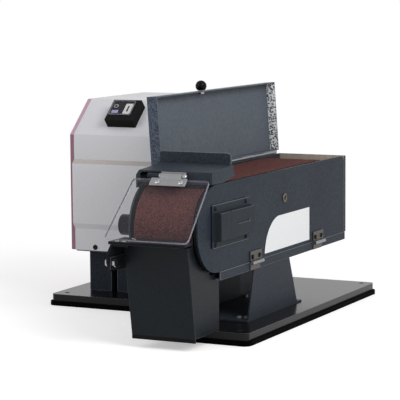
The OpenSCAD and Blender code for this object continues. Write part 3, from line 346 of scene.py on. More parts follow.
belt_grit = grit_cloth("belt_grit", (0.137, 0.0455, 0.0395), (0.045, 0.016, 0.015), (0.34, 0.16, 0.14))
# The bare cloth of the cut edges, painted a little paler as a painted highlight.
belt_cloth_and_sheen = grit_cloth("belt_cloth_and_sheen", (0.15, 0.065, 0.045), (0.10, 0.04, 0.03), (0.30, 0.17, 0.13))
black_rubber = plain_moulding("black_rubber", (0.005, 0.005, 0.005), 0.7, Specular_IOR_Level=0.1)
# A near-black finish for the edging under the base.
edging_black = plain_moulding("edging_black", (0.001, 0.001, 0.001), 0.8, Specular_IOR_Level=0.03)
case_plastic = plain_moulding("case_plastic", (0.003, 0.003, 0.003), 0.45, Specular_IOR_Level=0.07)
ball_plastic = plain_moulding("ball_plastic", (0.0015, 0.0015, 0.0015), 0.12, 40.0, 0.00001,
                              Specular_IOR_Level=0.1)
button_plastic = plain_moulding("button_plastic", (0.66, 0.68, 0.66), 0.35)
lilac_plastic = plain_moulding("lilac_plastic", (0.34, 0.33, 0.58), 0.35)
mark_grey = plain_moulding("mark_grey", (0.42, 0.43, 0.43), 0.4)
label_film = plain_moulding("label_film", (0.80, 0.81, 0.83), 0.35, 600.0, 0.000002)
print("belt, rubber and plastics made")

# %% [markdown]
# ## Clear sheet
# Clear sheet could be a glass shader, but glass this thin only costs time and noise. Here it is a low
# Alpha, so the belt behind it stays visible. A little haze makes the sheet show in the light,
# and the haze grows towards grazing angles.

# %% Clear sheet
def clear_sheet(name, tint, haze):
    """Transparent sheet that keeps a share of haze, more of it where the sheet is seen edge-on."""
    sheet = Finish(name, tint, 0.06, Specular_IOR_Level=0.5)
    grazing = sheet.node("ShaderNodeLayerWeight", {}, {"Blend": 0.25}, "Facing")
    cloud = sheet.spread(sheet.noise(14.0, 2.0), 0.3, 0.7, haze * 0.8, haze * 1.2)
    sheet.set("Alpha", sheet.node("ShaderNodeMath", {"operation": "ADD", "use_clamp": True},
                                  {0: cloud, 1: grazing * 0.12}))
    return sheet


clear_panel = clear_sheet("clear_panel", (0.36, 0.35, 0.40), 0.017)
# Sawn edges: a paler sheet as painted highlight, a darker one as painted shade.
lit_clear_edge = clear_sheet("lit_clear_edge", (0.33, 0.30, 0.39), 0.5)
shaded_clear_edge = clear_sheet("shaded_clear_edge", (0.10, 0.09, 0.11), 0.75)
print("clear sheet made")

# %% [markdown]
# ## Dressing the frame
# Every part of the machine is in the CAD model already, so each gets its finish first. The parts could be
# dressed one by one, where they are worked on, but one table shows at a glance what is made of
# what, and the rounded copies below inherit it.

# %% Dress the CAD nodes
finishes = {
    base_enamel: ["base_plate"],
    edging_black: ["base_edging"],
    black_rubber: ["door_seal", "wheel_tyre"],
    frame_coat: ["motor_pedestal", "unit_pedestal", "floor_tray", "unit_frame"],
    hood_coat: ["hood", "stop_plate"],
    door_coat: ["side_door", "inspection_cover"],
    box_coat: ["spark_box"],
    lid_coat: ["top_lid"],
    satin_black: ["rest_table", "rest_leg", "rest_carrier", "tension_carriage"],
    zinc_and_barrel_sheen: ["door_hinge_pins", "wall_hinge_leaf", "lid_hinge_leaf", "lid_hinge_pin", "pedestal_bolts"],
    hinge_bronze: ["frame_hinge_leaves", "door_hinge_leaves"],
    bright_steel: ["inspection_screws", "door_hinge_screws", "rest_bolt", "rest_screws", "housing_screws",
                   "shield_screws", "knob_stud", "tension_rod"],
    bare_sheet: ["shield_bracket", "shield_arm"],
    blued_steel: ["shield_pin"],
    turned_steel: ["latch_post", "disc_springs", "belt_platen", "wheel_axle", "drum_nut", "wheel_bearings",
                   "motor_rotor"],
    brass: ["door_latch"],
    label_film: ["label_plate"],
    ball_plastic: ["lid_knob"],
    case_plastic: ["motor_fan", "off_button", "switch_box"],
    cast_aluminium: ["wheel_hub", "drive_drum", "motor_end_shields"],
    belt_grit: ["grinding_belt"],
    clear_panel: ["shield", "switch_window"],
    machine_enamel: ["motor_stator"],
    white_enamel: ["housing_cover"],
    red_enamel: ["left_end_panel", "right_end_panel"],
    button_plastic: ["on_button"],
}
for finish, names in finishes.items():
    for name in names:
        nodes[name].data.materials.clear()
        nodes[name].data.materials.append(finish.material)
print(sum(len(names) for names in finishes.values()), "nodes dressed")

# %% [markdown]
# ## Rounded edges
# Folded sheet and machined steel never end in a knife edge: the bend or the file leaves a narrow round
# that catches the light as a thin line. A merged copy of the CAD solid gets a Bevel modifier that only
# acts on real corners, so the faceted arcs stay as they are, and the bevel's faces take a paler coat,
# a painted highlight along that line. Modelling each sheet anew would give the same shape with more code.

# %% Copies with rounded edges
MM = 0.001
SAME_POINT = 2e-6
# Each coat's paler copy, a painted highlight for its rounded edges.
edge_highlight_finish = {"frame_coat": edge_highlight_coat, "hood_coat": edge_highlight_coat, "door_coat": edge_highlight_coat,
                 "box_coat": box_edge_highlight, "lid_coat": lid_edge_highlight, "satin_black": black_edge_highlight,
                 "base_enamel": base_edge_highlight, "white_enamel": white_edge_highlight}


def add_piece(name, mesh, node, smooth_below=35.0):
    """Puts a mesh into the scene on a node's body, smooth except at edges sharper than smooth_below."""
    mesh.polygons.foreach_set("use_smooth", np.ones(len(mesh.polygons), bool))
    mesh.set_sharp_from_angle(angle=math.radians(smooth_below))
    piece = bpy.data.objects.new(name, mesh)
    scene.collection.objects.link(piece)
    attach(piece, body_of_node[node])
    return piece


def merged_copy(name, node):
    """A copy of a CAD mesh whose loose triangles are joined and whose flat faces are whole."""
    mesh = nodes[node].data.copy()
    mesh.name = name
    work = bmesh.new()
    work.from_mesh(mesh)
    bmesh.ops.remove_doubles(work, verts=work.verts, dist=SAME_POINT)
    bmesh.ops.dissolve_limit(work, angle_limit=math.radians(0.5), verts=work.verts, edges=work.edges)
    work.to_mesh(mesh)
    work.free()
    return mesh


def softened(node, width):
    """Replaces a CAD node by a copy whose corners over 30 degrees are rounded and painted a little paler as a
    painted highlight.
    """
    piece = add_piece(node + "_rounded", merged_copy(node + "_rounded", node), node)
    bevel = piece.modifiers.new("round", "BEVEL")
    bevel.width, bevel.segments = width, 2
    bevel.limit_method, bevel.angle_limit = "ANGLE", math.radians(30.0)
    bevel.harden_normals = True
    # The bevel's faces take the paler coat: a painted highlight along each rounded edge.
    edge_highlight = edge_highlight_finish.get(piece.data.materials[0].name)
    if edge_highlight:
        piece.data.materials.append(edge_highlight.material)
        bevel.material = 1
    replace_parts(piece, node)
    return piece


print("rubbed finishes for", len(edge_highlight_finish), "coats")

# %% Round the edges of the solids
edge_rounds_mm = {
    "base_plate": 3.0, "motor_pedestal": 1.5, "unit_pedestal": 1.0, "floor_tray": 0.9, "unit_frame": 0.9,
    "side_door": 0.9, "hood": 0.8, "stop_plate": 0.8, "spark_box": 0.8, "top_lid": 0.8, "rest_table": 0.8,
    "rest_leg": 0.5, "rest_carrier": 0.5, "housing_cover": 1.4, "left_end_panel": 1.2, "right_end_panel": 1.2,
    "door_hinge_leaves": 0.25, "frame_hinge_leaves": 0.25, "lid_hinge_leaf": 0.25, "wall_hinge_leaf": 0.25,
    "shield_bracket": 0.4, "tension_carriage": 0.8, "base_edging": 0.7, "label_plate": 0.15,
    "switch_box": 1.5, "on_button": 0.8, "off_button": 0.8, "shield_pin": 0.3,
}
rounded = {node: softened(node, width * MM) for node, width in edge_rounds_mm.items()}
print(len(rounded), "nodes rounded")

# %% [markdown]
# ## Grids of points
# Domed screws, balls, belts and bent sheets could each be built with Blender's own tools, but all of them are
# grids: a shape is worked out as whole arrays of points, a quad joins each four neighbours, and
# points that fall together, such as a dome's pole, are merged. A few lines then serve every piece.

# %% Patches and bodies
def patch(points, wrap_rows=False, wrap_columns=False):
    """Points and quads of a rows x columns grid; a wrapped direction joins its last line to its first."""
    rows, columns = points.shape[:2]
    r = np.arange(rows if wrap_rows else rows - 1)[:, None]
    c = np.arange(columns if wrap_columns else columns - 1)[None, :]
    r_next, c_next = (r + 1) % rows, (c + 1) % columns
    corners = [r * columns + c, r * columns + c_next, r_next * columns + c_next, r_next * columns + c]
    return points.reshape(-1, 3), np.stack(corners, -1).reshape(-1, 4)


def joined_mesh(name, patches):
    """One mesh of closed patches in mm, its doubled points merged and its faces turned outwards."""
    starts = np.cumsum([0] + [len(points) for points, _ in patches])
    points = np.concatenate([points for points, _ in patches]) * MM
    quads = np.concatenate([quads + start for (_, quads), start in zip(patches, starts)])
    mesh = bpy.data.meshes.new(name)
    mesh.from_pydata(points.tolist(), [], quads.tolist())
    work = bmesh.new()
    work.from_mesh(mesh)
    bmesh.ops.remove_doubles(work, verts=work.verts, dist=SAME_POINT)
    bmesh.ops.recalc_face_normals(work, faces=work.faces)
    work.to_mesh(mesh)
    work.free()
    return mesh


print("a grid of 3 x 4 points has", len(patch(np.zeros((3, 4, 3)))[1]), "quads")

# %% [markdown]
# ## Turned bodies
# Screws, studs, balls and rings are turned on a lathe, so each is a list of rings along an axis. A ring's
# radius may be a number or a function of the angle: with a hexagon or a cross as that function, the
# same few lines also make nuts and recesses.

# %% Bodies round an axis
def unit(vector):
    """The vector, scaled to length 1."""
    vector = np.array(vector, float)
    return vector / np.linalg.norm(vector)


def round_body(rings, origin, axis, sides=48, turn=0.0):
    """Closed surface round an axis, in mm: ring i has the radius r_i(a) and the height h_i.

    A point is origin + r cos(a) across + r sin(a) upward + h along, where a runs round in equal steps.
    """
    angle = np.arange(sides) * 2.0 * math.pi / sides
    along = unit(axis)
    across = unit(np.cross((0.0, 1.0, 0.0) if abs(along[1]) < 0.7 else (1.0, 0.0, 0.0), along))
    upward = np.cross(along, across)
    radius = np.array([r(angle + turn) if callable(r) else np.full(sides, float(r)) for r, _ in rings])
    height = np.array([h for _, h in rings])[:, None, None]
    spokes = np.cos(angle)[:, None] * across + np.sin(angle)[:, None] * upward
    return patch(np.array(origin, float) + radius[..., None] * spokes + height * along, wrap_columns=True)


def hexagon(radius):
    """Distance from the centre to a hexagon's side at angle a: r cos 30 / cos(a off the side's middle)."""
    return lambda a: radius * math.cos(math.pi / 6) / np.cos((a % (math.pi / 3)) - math.pi / 6)


def bar(length, width):
    """Distance from the centre to a rectangle's side: the nearer of length / cos a and width / sin a."""
    return lambda a: np.minimum(length / (np.abs(np.cos(a)) + 1e-9), width / (np.abs(np.sin(a)) + 1e-9))


def cross(length, width):
    """Outline of two crossed bars: the farther of the two at every angle."""
    lying, standing = bar(length, width), bar(width, length)
    return lambda a: np.maximum(lying(a), standing(a))


print("a hexagon of radius 4 is", round(2.0 * float(hexagon(4.0)(math.pi / 6)), 2), "across its flats")

# %% Heads and screws
def dome_rings(radius, height, crown, recess, depth):
    """Rings of a head from its seat: a short wall, a dome that falls by crown s^2, then a recess.

    The share s runs from 1 at the rim to 0 at the edge of the recess.
    """
    rim = [(radius, 0.0), (radius, (height - crown) * 0.7)]
    shares = np.linspace(1.0, 0.0, 9)[:-1]
    over = [(lambda a, s=s: recess(a) + (radius * 0.985 - recess(a)) * s, height - crown * s * s)
            for s in shares]
    wall = [(recess, height), (recess, height - 0.15), (lambda a: recess(a) * 0.85, height - depth)]
    return rim + over + wall + [(0.0, height - depth)]


def screw(origin, axis, shank, head, recess, depth, turn=0.0, sides=64):
    """A closed screw: shank (radius, length) below the seat, head (radius, height, crown) above it."""
    below = [(0.0, -shank[1]), (shank[0], -shank[1]), (shank[0], 0.0)]
    return round_body(below + dome_rings(*head, recess, depth), origin, axis, sides, turn)


print("screws ready")

# %% [markdown]
# ## Places on the machine
# The shield hangs from its pin at a slant, the lid stands open and the switch sits on a sloping wall. Their
# pieces could be modelled flat and turned as objects, but the export needs every object unturned. So
# the points themselves are turned: each place is a function from its own millimetres to the machine's.

# %% Tilted places
def turned_frame(origin, degrees, axis):
    """A function that carries points in mm from a local frame, turned by degrees about X or Y."""
    c, s = math.cos(math.radians(degrees)), math.sin(math.radians(degrees))
    rows = {"X": [[1, 0, 0], [0, c, -s], [0, s, c]], "Y": [[c, 0, s], [0, 1, 0], [-s, 0, c]]}[axis]
    matrix = np.array(rows, float)
    return lambda points: np.array(points, float) @ matrix.T + origin


def moved(place, made):
    """A patch with its points carried by place."""
    return place(made[0]), made[1]


X, Z = (1, 0, 0), (0, 0, 1)
FRONTWARDS, DOWN = (0, -1, 0), (0, 0, -1)
SHIELD_PIN_MM, SHIELD_TILT = np.array([131.0, -258.0, 258.0]), 43.9
LID_HINGE_MM, LID_OPENING = np.array([66.5, 0.0, 255.0]), 93.8
SLANT_RISE, SLANT_RUN, UP_THE_SLANT = 58.0, 65.0, 20.0
slope = math.atan2(SLANT_RISE, SLANT_RUN)
slant_foot = np.array([-117.0, 20.0, 299.0])
switch_seat = slant_foot + UP_THE_SLANT * np.array([0.0, math.cos(slope), math.sin(slope)])
on_shield = turned_frame(SHIELD_PIN_MM, SHIELD_TILT, "X")
on_lid = turned_frame(LID_HINGE_MM, -LID_OPENING, "Y")
on_slant = turned_frame(switch_seat, math.degrees(slope), "X")
print("slope of the housing", round(math.degrees(slope), 2), "degrees")

# %% [markdown]
# ## Screws, bolts and nuts
# Every fastener that shows has a domed head with a recess cut into it, or a hexagon with its corners
# turned off. Recesses could be cut with a Boolean modifier, but that leaves ragged meshes. Here a ring's
# radius may depend on the angle, so the recess is simply a star-shaped ring that goes down
# instead of up, and one function makes them all. Sizes are in millimetres.

# %% Heads, bolts and nuts
def dressed(name, patches, node, finish, smooth_below=35.0):
    """A finished piece from closed patches."""
    piece = add_piece(name, joined_mesh(name, patches), node, smooth_below)
    piece.data.materials.append(finish.material)
    return piece


def fasteners(node, patches, finish):
    """Replaces a CAD node of screws by turned ones."""
    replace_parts(dressed(node + "_turned", patches, node, finish, smooth_below=40.0), node)


def hexagon_rings(radius, low, high):
    """Six flats from low to high and a top whose corners are turned off."""
    flats = hexagon(radius)

    def chamfered(a):
        return np.minimum(flats(a), radius * 0.94)

    return [(flats, low), (flats, high - 0.7), (chamfered, high - 0.35), (radius * 0.8, high), (0.0, high)]


def hex_bolt(origin, axis, shank, radius, height, washer, turn=0.2):
    """A closed hexagon bolt: shank (radius, length), a washer 0.9 mm thick, then the head."""
    rings = [(0.0, -shank[1]), (shank[0], -shank[1]), (shank[0], 0.0), (washer, 0.0), (washer, 0.9)]
    return round_body(rings + hexagon_rings(radius, 0.9, height), origin, axis, 72, turn)


def hex_nut(origin, axis, radius, height, turn=0.2):
    """A closed hexagon nut, its bore filled by the screw that it holds."""
    return round_body([(0.0, 0.0)] + hexagon_rings(radius, 0.0, height), origin, axis, 72, turn)


print("bolts and nuts ready")

# %% Turn the fasteners
SEAT_X = 198.0  # the screw heads on the door's side start at this X, in mm
phillips, slot, wide_slot, socket = cross(1.9, 0.5), bar(3.2, 0.55), bar(3.7, 0.6), hexagon(2.0)
fasteners("inspection_screws", [screw((SEAT_X, y, z), X, (1.75, 4.5), (3.5, 1.75, 1.0), phillips, 0.9, 0.5)
                                for y in (-244, -134) for z in (160, 216.5)], dark_steel)
fasteners("door_hinge_screws", [screw((SEAT_X, y, 123.5), X, (1.95, 2.0), (3.9, 1.6, 0.8), slot, 0.9, 0.7)
                                for y in (-107.5, -81.0, 150.5, 177.0)], dark_steel)
fasteners("rest_screws", [screw((x, y, 172), Z, (1.95, 6.9), (3.6, 1.1, 0.6), cross(2.0, 0.5), 0.7, 0.3)
                          for x, y in ((78, -338), (90, -338), (90, -306))], bright_steel)
fasteners("housing_screws", [screw((-164, 20, 102), FRONTWARDS, (2.45, 8.0), (4.5, 2.0, 1.0), socket, 1.2)],
          dark_steel)
shield_seats = [(-20, -8), (20, -8)]
shield_screws = [screw((x, y, 6.2), Z, (2.45, 6.2), (4.4, 2.0, 1.0), wide_slot, 1.0, 0.9)
                 for x, y in shield_seats]
shield_nuts = [hex_nut((x, y, 0), DOWN, 4.4, 2.0) for x, y in shield_seats]
fasteners("shield_screws", [moved(on_shield, part) for part in shield_screws + shield_nuts], bright_steel)
bolt_places = [(100, -100), (172, -104), (182, -100), (95, 84), (170, 84), (60, 108), (60, 220)]
HEAD_HEIGHT, TURN_BETWEEN_BOLTS = 3.5, 0.4
seat = max(point[2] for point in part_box("pedestal_bolts")) / MM - HEAD_HEIGHT
fasteners("pedestal_bolts",
          [hex_bolt((x, y, seat), Z, (2.95, 2.9), 4.6, HEAD_HEIGHT, 5.0, TURN_BETWEEN_BOLTS * i)
           for i, (x, y) in enumerate(bolt_places)], zinc_and_barrel_sheen)
print("fasteners made, pedestal bolts seated at", round(seat, 2), "mm")

# %% [markdown]
# ## Clear shield
# The shield is a trapezoid sawn from 4 mm clear sheet, its corners filed round. Its faces are nearly
# invisible, but light that enters the sheet comes out at the sawn edge, so the edge gets a brighter
# finish of its own as a painted highlight, and a darker one as painted shade where it faces away from the
# light. A Bevel on the CAD plate would round it too, but one outline carried through its thickness gives
# even strips all round.

# %% Outlines and plates
def rounded_outline(corners, radius, steps=8):
    """Replaces each corner of a polygon by an arc that touches both of its sides.

    With the half angle h at a corner, the centre lies r / sin h along the bisector, and the arc is
    the spherical blend of the two touching radii.
    """
    corners = np.array(corners, float)
    arcs = []
    for before, here, after in zip(np.roll(corners, 1, 0), corners, np.roll(corners, -1, 0)):
        back, ahead = unit(before - here), unit(after - here)
        half = math.acos(float(back @ ahead)) / 2.0
        centre = here + unit(back + ahead) * radius / math.sin(half)
        first, last = (here + side * radius / math.tan(half) - centre for side in (back, ahead))
        sweep, share = math.pi - 2.0 * half, np.linspace(0.0, 1.0, steps)[:, None]
        arc = np.sin((1.0 - share) * sweep) * first + np.sin(share * sweep) * last
        arcs.append(centre + arc / math.sin(sweep))
    return np.concatenate(arcs)


def inset(outline, distance):
    """Moves a counter-clockwise outline inwards along the mean normal of the two sides at each point."""
    side = np.roll(outline, -1, 0) - outline
    normal = np.stack([-side[:, 1], side[:, 0]], 1)
    normal /= np.linalg.norm(normal, axis=1)[:, None] + 1e-12
    mean = normal + np.roll(normal, 1, 0)
    return outline + distance * 2.0 * mean / (mean ** 2).sum(1)[:, None]


def plate(outline, low, high, chamfer=0.4):
    """Closed plate: the outline at both heights, a chamfer at each rim, and a fan over each face."""
    middle = np.repeat(outline.mean(0)[None, :], len(outline), 0)
    small = inset(outline, chamfer)
    rows = [(middle, low), (small, low), (outline, low + chamfer), (outline, high - chamfer), (small, high),
            (middle, high)]
    points = np.stack([np.column_stack([ring, np.full(len(ring), height)]) for ring, height in rows])
    return patch(points, wrap_columns=True)


print("outlines and plates ready")

# %% Cut the shield
def second_finish(piece, finish, chosen):
    """Gives a second finish to the faces for which chosen(centre in mm, normal) is true."""
    faces = piece.data.polygons
    centre, normal = np.empty(3 * len(faces)), np.empty(3 * len(faces))
    faces.foreach_get("center", centre)
    faces.foreach_get("normal", normal)
    index = np.empty(len(faces), np.int32)
    faces.foreach_get("material_index", index)
    picked = chosen(centre.reshape(-1, 3) / MM, normal.reshape(-1, 3))
    index[picked] = len(piece.data.materials)
    piece.data.materials.append(finish.material)
    faces.foreach_set("material_index", index)
    return int(picked.sum())


SHEET_THICKNESS, CORNER_R = 4.0, 7.0
trapezoid = [(-71.0, -122.0), (71.0, -122.0), (65.5, 0.0), (-65.5, 0.0)]
sheet = plate(rounded_outline(trapezoid, CORNER_R), 0.0, SHEET_THICKNESS)
shield_sheet = dressed("shield_sheet", [moved(on_shield, sheet)], "shield", clear_panel)
outwards = on_shield([[0, 0, 1]])[0] - on_shield([[0, 0, 0]])[0]


def on_sheet_edge(at, n):
    """The sawn edge: faces that don't look along the sheet's thickness."""
    return np.abs(n @ outwards) < 0.9


def on_left_edge(at, n):
    """The part of the sawn edge that looks to the left."""
    return on_sheet_edge(at, n) & (n[:, 0] < -0.8)


print("edge faces", second_finish(shield_sheet, lit_clear_edge, on_sheet_edge))
print("left edge faces", second_finish(shield_sheet, shaded_clear_edge, on_left_edge))
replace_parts(shield_sheet, "shield")

# %% [markdown]
# ## Shield arm and baffle
# The arm is one bent strip: a wide foot screwed to the sheet, a joggle, and a flat top folded round the
# tilt pin, so it is a profile carried along X. A thin steel baffle hangs behind the front of the hood, just
# over the belt, and keeps the sparks out. It carries nothing, so it is only here. A flat sheet with a
# Simple Deform modifier would bend as well, but the joggle's short radii need points of their own.

# %% Bend the arm and hang the baffle
def carried(profile, low, high):
    """Closed bar: a ring of (y, z) points carried from x = low to high, a fan over each end."""
    ring = np.array(profile, float)
    middle = np.repeat(ring.mean(0)[None, :], len(ring), 0)
    rows = [(middle, low), (ring, low), (ring, high), (middle, high)]
    points = np.stack([np.column_stack([np.full(len(ring), x), section]) for section, x in rows])
    return patch(points, wrap_columns=True)


PIN_Y, PIN_Z, WRAP_R = 4.87, 4.34, 4.4
pin_turn = np.radians(np.linspace(15.0, -200.0, 22))
around_pin = np.column_stack([PIN_Y + WRAP_R * np.cos(pin_turn), PIN_Z + WRAP_R * np.sin(pin_turn)])
barrel = around_pin[around_pin[:, 1] < 6.6].tolist()
strip = [(0.3, 4.4), (-2.2, 4.4), (-2.2, 6.15), (-1.2, 6.3), (-0.2, 7.0), (0.6, 8.2), (1.4, 8.7), (7.0, 8.7)]
foot_outline = rounded_outline([(-33.0, -15.0), (29.0, -15.0), (29.0, 0.2), (-33.0, 0.2)], 1.2)
foot = plate(foot_outline, 4.05, 6.2, 0.3)
arm = dressed("arm_strip", [moved(on_shield, part) for part in (foot, carried(barrel + strip, -18.0, 19.0))],
              "shield_arm", bare_sheet, smooth_below=25.0)
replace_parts(arm, "shield_arm")
baffle_section = [(-247.4, 247.8), (-246.4, 247.8), (-246.4, 256.0), (-247.4, 256.0)]
dressed("spark_baffle", [carried(baffle_section, 68.5, 191.5)], "hood", satin_black)
print("arm bent, baffle hung")

# %% [markdown]
# ## Second finishes
# Some parts wear two coats, and some faces get painted light. The lid's plate is smooth and its flanges are
# hammered, with painted glints on the inside of the rear flange; the step across the housing's front is
# painted warm grey as painted shade; the barrels of the hinges get a brighter metal as a painted highlight;
# the inside of the unit's rear wall is bare sheet, painted bright and warm as painted light from the lamp
# above; the upper front faces of the left end panel are painted pale as a painted highlight. Such a part
# could be cut in two, but its faces can be picked by where they lie in millimetres and which way they
# look, and then it stays whole.

# %% Give parts their second finish
REAR_WALL_Y = 250.0
STEP_SHADE_LOW, STEP_SHADE_HIGH = 248.0, 257.0
BOX_BLACK_BAND_Z, PIN_DOME_X = 20.6, 152.0
HINGE_X, HINGE_Z, BARREL_R = 200.0, 114.0, 3.4
lid_normal = on_lid([[0, 0, 1]])[0] - on_lid([[0, 0, 0]])[0]


def looks_forwards(n, least=0.9):
    """Faces whose normal points to the front by at least that much."""
    return n[:, 1] < -least


def looks_up_and_forwards(n, least):
    """Faces whose normal points both to the front and upwards by more than that much."""
    return looks_forwards(n, least) & (n[:, 2] > least)


second_finishes = [
    ("top_lid", lid_edge_coat, lambda at, n: np.abs(n @ lid_normal) < 0.9),
    # The inside of the lid's rear flange gets the painted glints.
    ("top_lid", painted_glint_coat, lambda at, n: looks_forwards(n) & (at[:, 1] > REAR_WALL_Y)),
    # The step across the housing's front takes the warm grey as painted shade.
    ("housing_cover", step_shade_enamel,
     lambda at, n: (at[:, 2] > STEP_SHADE_LOW) & (at[:, 2] < STEP_SHADE_HIGH) & looks_up_and_forwards(n, 0.2)),
    # The left end panel's faces that look up and forwards get the paler red as a painted highlight.
    ("left_end_panel", red_panel_highlight, lambda at, n: looks_up_and_forwards(n, 0.3)),
    # The spark box's front faces below 20.6 mm are black.
    ("spark_box", black_rubber, lambda at, n: looks_forwards(n, 0.5) & (at[:, 2] < BOX_BLACK_BAND_Z)),
    ("shield_pin", bright_steel, lambda at, n: at[:, 0] > PIN_DOME_X),
    # The inside of the rear wall is painted bright as painted light from the lamp above.
    ("unit_frame", lamp_lit_sheet, lambda at, n: looks_forwards(n) & (at[:, 1] > REAR_WALL_Y)),
] + [
    # The hinge barrels take the brighter metal as a painted highlight.
    (leaves, zinc_and_barrel_sheen, lambda at, n: np.hypot(at[:, 0] - HINGE_X, at[:, 2] - HINGE_Z) < BARREL_R)
    for leaves in ("door_hinge_leaves", "frame_hinge_leaves")
]
for node, finish, chosen in second_finishes:
    print(second_finish(rounded[node], finish, chosen), "faces of", node, "are", finish.material.name)

# %% [markdown]
# ## Grinding belt
# The endless belt runs round the rubber wheel in front and the drum at the back. Seen from the side it
# is two arcs and two straight runs, and its section is a strip a millimetre thick whose cut edges
# show the bare cloth, painted a little paler as a painted highlight. A flat strip could follow a curve,
# but it may twist there. So the strip is carried along the path as a grid, with many short steps on the arcs.

# %% Run the belt
def belt_path(wheel, wheel_r, drum, drum_r, steps=96):
    """Centres, outward normals and radii along a belt round two wheels in the YZ plane.

    The two straight runs leave the wheels where the normal makes the angle acos((R - r) / D) with
    the line from the wheel to the drum. A point of the belt is centre + radius x normal.
    """
    wheel, drum = np.array(wheel), np.array(drum)
    line = drum - wheel
    tilt = math.atan2(line[1], line[0])
    lean = math.acos((wheel_r - drum_r) / np.linalg.norm(line))
    front = np.linspace(tilt + lean, tilt + 2.0 * math.pi - lean, steps)
    back = np.linspace(tilt - lean, tilt + lean, steps)
    normal = np.concatenate([np.stack([np.cos(a), np.sin(a)], 1) for a in (front, back)])
    centre = np.repeat(np.stack([wheel, drum]), steps, 0)
    return centre, normal, np.repeat([wheel_r, drum_r], steps)


WHEEL_YZ, WHEEL_R = (-219.0, 180.5), 70.0
DRUM_YZ, DRUM_R = (200.0, 200.5), 50.0
BELT_LEFT, BELT_RIGHT, CUT_EDGE = 81.0, 181.0, 1.2
centre, normal, radius = belt_path(WHEEL_YZ, WHEEL_R, DRUM_YZ, DRUM_R)
left_half = [(BELT_LEFT, 0.0), (BELT_LEFT, 0.75), (BELT_LEFT + 0.25, 1.0), (BELT_LEFT + CUT_EDGE, 1.0)]
right_half = [(BELT_LEFT + BELT_RIGHT - x, height) for x, height in reversed(left_half)]
section = np.array(left_half + right_half)
along = centre[:, None, :] + normal[:, None, :] * (radius[:, None] + section[None, :, 1])[..., None]
across = np.broadcast_to(section[None, :, :1], (*along.shape[:2], 1))
belt_grid = patch(np.concatenate([across, along], 2), True, True)
belt_loop = dressed("belt_loop", [belt_grid], "grinding_belt", belt_grit)
cut = second_finish(belt_loop, belt_cloth_and_sheen,
                    lambda at, n: (at[:, 0] < BELT_LEFT + CUT_EDGE) | (at[:, 0] > BELT_RIGHT - CUT_EDGE))
print("cloth faces", cut)
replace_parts(belt_loop, "grinding_belt")

# %% [markdown]
# ## Inspection cover
# A pressed steel cover over the front wheel's axle. Its pocket stands 10 mm proud with a sloping front
# wall, and a long grip is pressed into it. It could be extruded face by face, but a press bends one flat
# sheet, so here it is one grid whose height depends on y and z, thickened by a Solidify modifier.
# The grid lines lie closer together where a wall rises.

# %% Heights of the pressing
RIM_HEIGHT, POCKET_HEIGHT = 2.0, 10.0
GRIP_Y, GRIP_Z, GRIP_HALF, GRIP_DEPTH = -161.0, 188.5, 20.0, 2.0
FOLD_Y, FOLD_DEPTH = -208.0, 0.2


def rise(value, low, high):
    """Smooth step 3 t^2 - 2 t^3 from 0 at low to 1 at high."""
    t = np.clip((value - low) / (high - low), 0.0, 1.0)
    return t * t * (3.0 - 2.0 * t)


def cover_height(y, z):
    """Pocket height times the smallest of four wall slopes, less the grip's trough and a fold line."""
    walls = [rise(y, -249.0, -243.5), rise(-y, 120.0, 123.0), rise(z, 164.0, 166.5), rise(-z, -211.0, -208.5)]
    pocket = np.minimum.reduce(walls)
    off_grip = np.hypot(np.maximum(np.abs(y - GRIP_Y) - GRIP_HALF, 0.0), z - GRIP_Z)
    grip = rise(-off_grip, -3.0, -1.6) - 0.12 * rise(-off_grip, -4.6, -3.4)
    fold = np.exp(-((y - FOLD_Y) / 0.8) ** 2)
    return RIM_HEIGHT + POCKET_HEIGHT * pocket - GRIP_DEPTH * grip * pocket - FOLD_DEPTH * fold * pocket


def lines(*spans):
    """Sorted grid lines from several (low, high, count) spans."""
    return np.unique(np.round(np.concatenate([np.linspace(*span) for span in spans]), 4))


print("pocket stands", float(cover_height(-190.0, 175.0)), "mm off the door")

# %% Press the inspection cover
DOOR_X = 196.0
COVER_Y, COVER_Z, COVER_CORNER = (-256.0, -120.0), (155.0, 222.0), 4.0
y_lines = lines((*COVER_Y, 90), (-250, -243, 22), (-186, -178, 25), (-144, -136, 25), (-210, -206, 13),
                (-123.5, -120, 8))
z_lines = lines((*COVER_Z, 46), (184, 193, 37), (163.5, 167, 11), (208, 211.5, 11), (155, 159, 13),
                (218, 222, 13))
z, y = np.meshgrid(z_lines, y_lines)
into_corner = np.clip(COVER_CORNER - np.minimum(z - COVER_Z[0], COVER_Z[1] - z), 0.0, COVER_CORNER)
half_length, middle_y = (COVER_Y[1] - COVER_Y[0]) / 2.0, sum(COVER_Y) / 2.0
narrowed = 1.0 - (COVER_CORNER - np.sqrt(COVER_CORNER ** 2 - into_corner ** 2)) / half_length
points = np.stack([DOOR_X + cover_height(y, z), middle_y + (y - middle_y) * narrowed, z], -1)
cover_points, cover_quads = patch(points)
cover_mesh = bpy.data.meshes.new("cover_pressing")
cover_mesh.from_pydata((cover_points * MM).tolist(), [], cover_quads.tolist())
if cover_mesh.polygons[0].normal.x < 0.0:
    cover_mesh.flip_normals()
cover_pressing = add_piece("cover_pressing", cover_mesh, "inspection_cover", smooth_below=60.0)
cover_mesh.materials.append(cover_coat.material)
shell = cover_pressing.modifiers.new("sheet", "SOLIDIFY")
shell.thickness, shell.offset = 1.2 * MM, -1.0
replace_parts(cover_pressing, "inspection_cover")
print("cover grid", points.shape[:2])

# %% Paint highlights on the cover's edges and shade on its front wall
FRONT_WALL_Y = -235.0


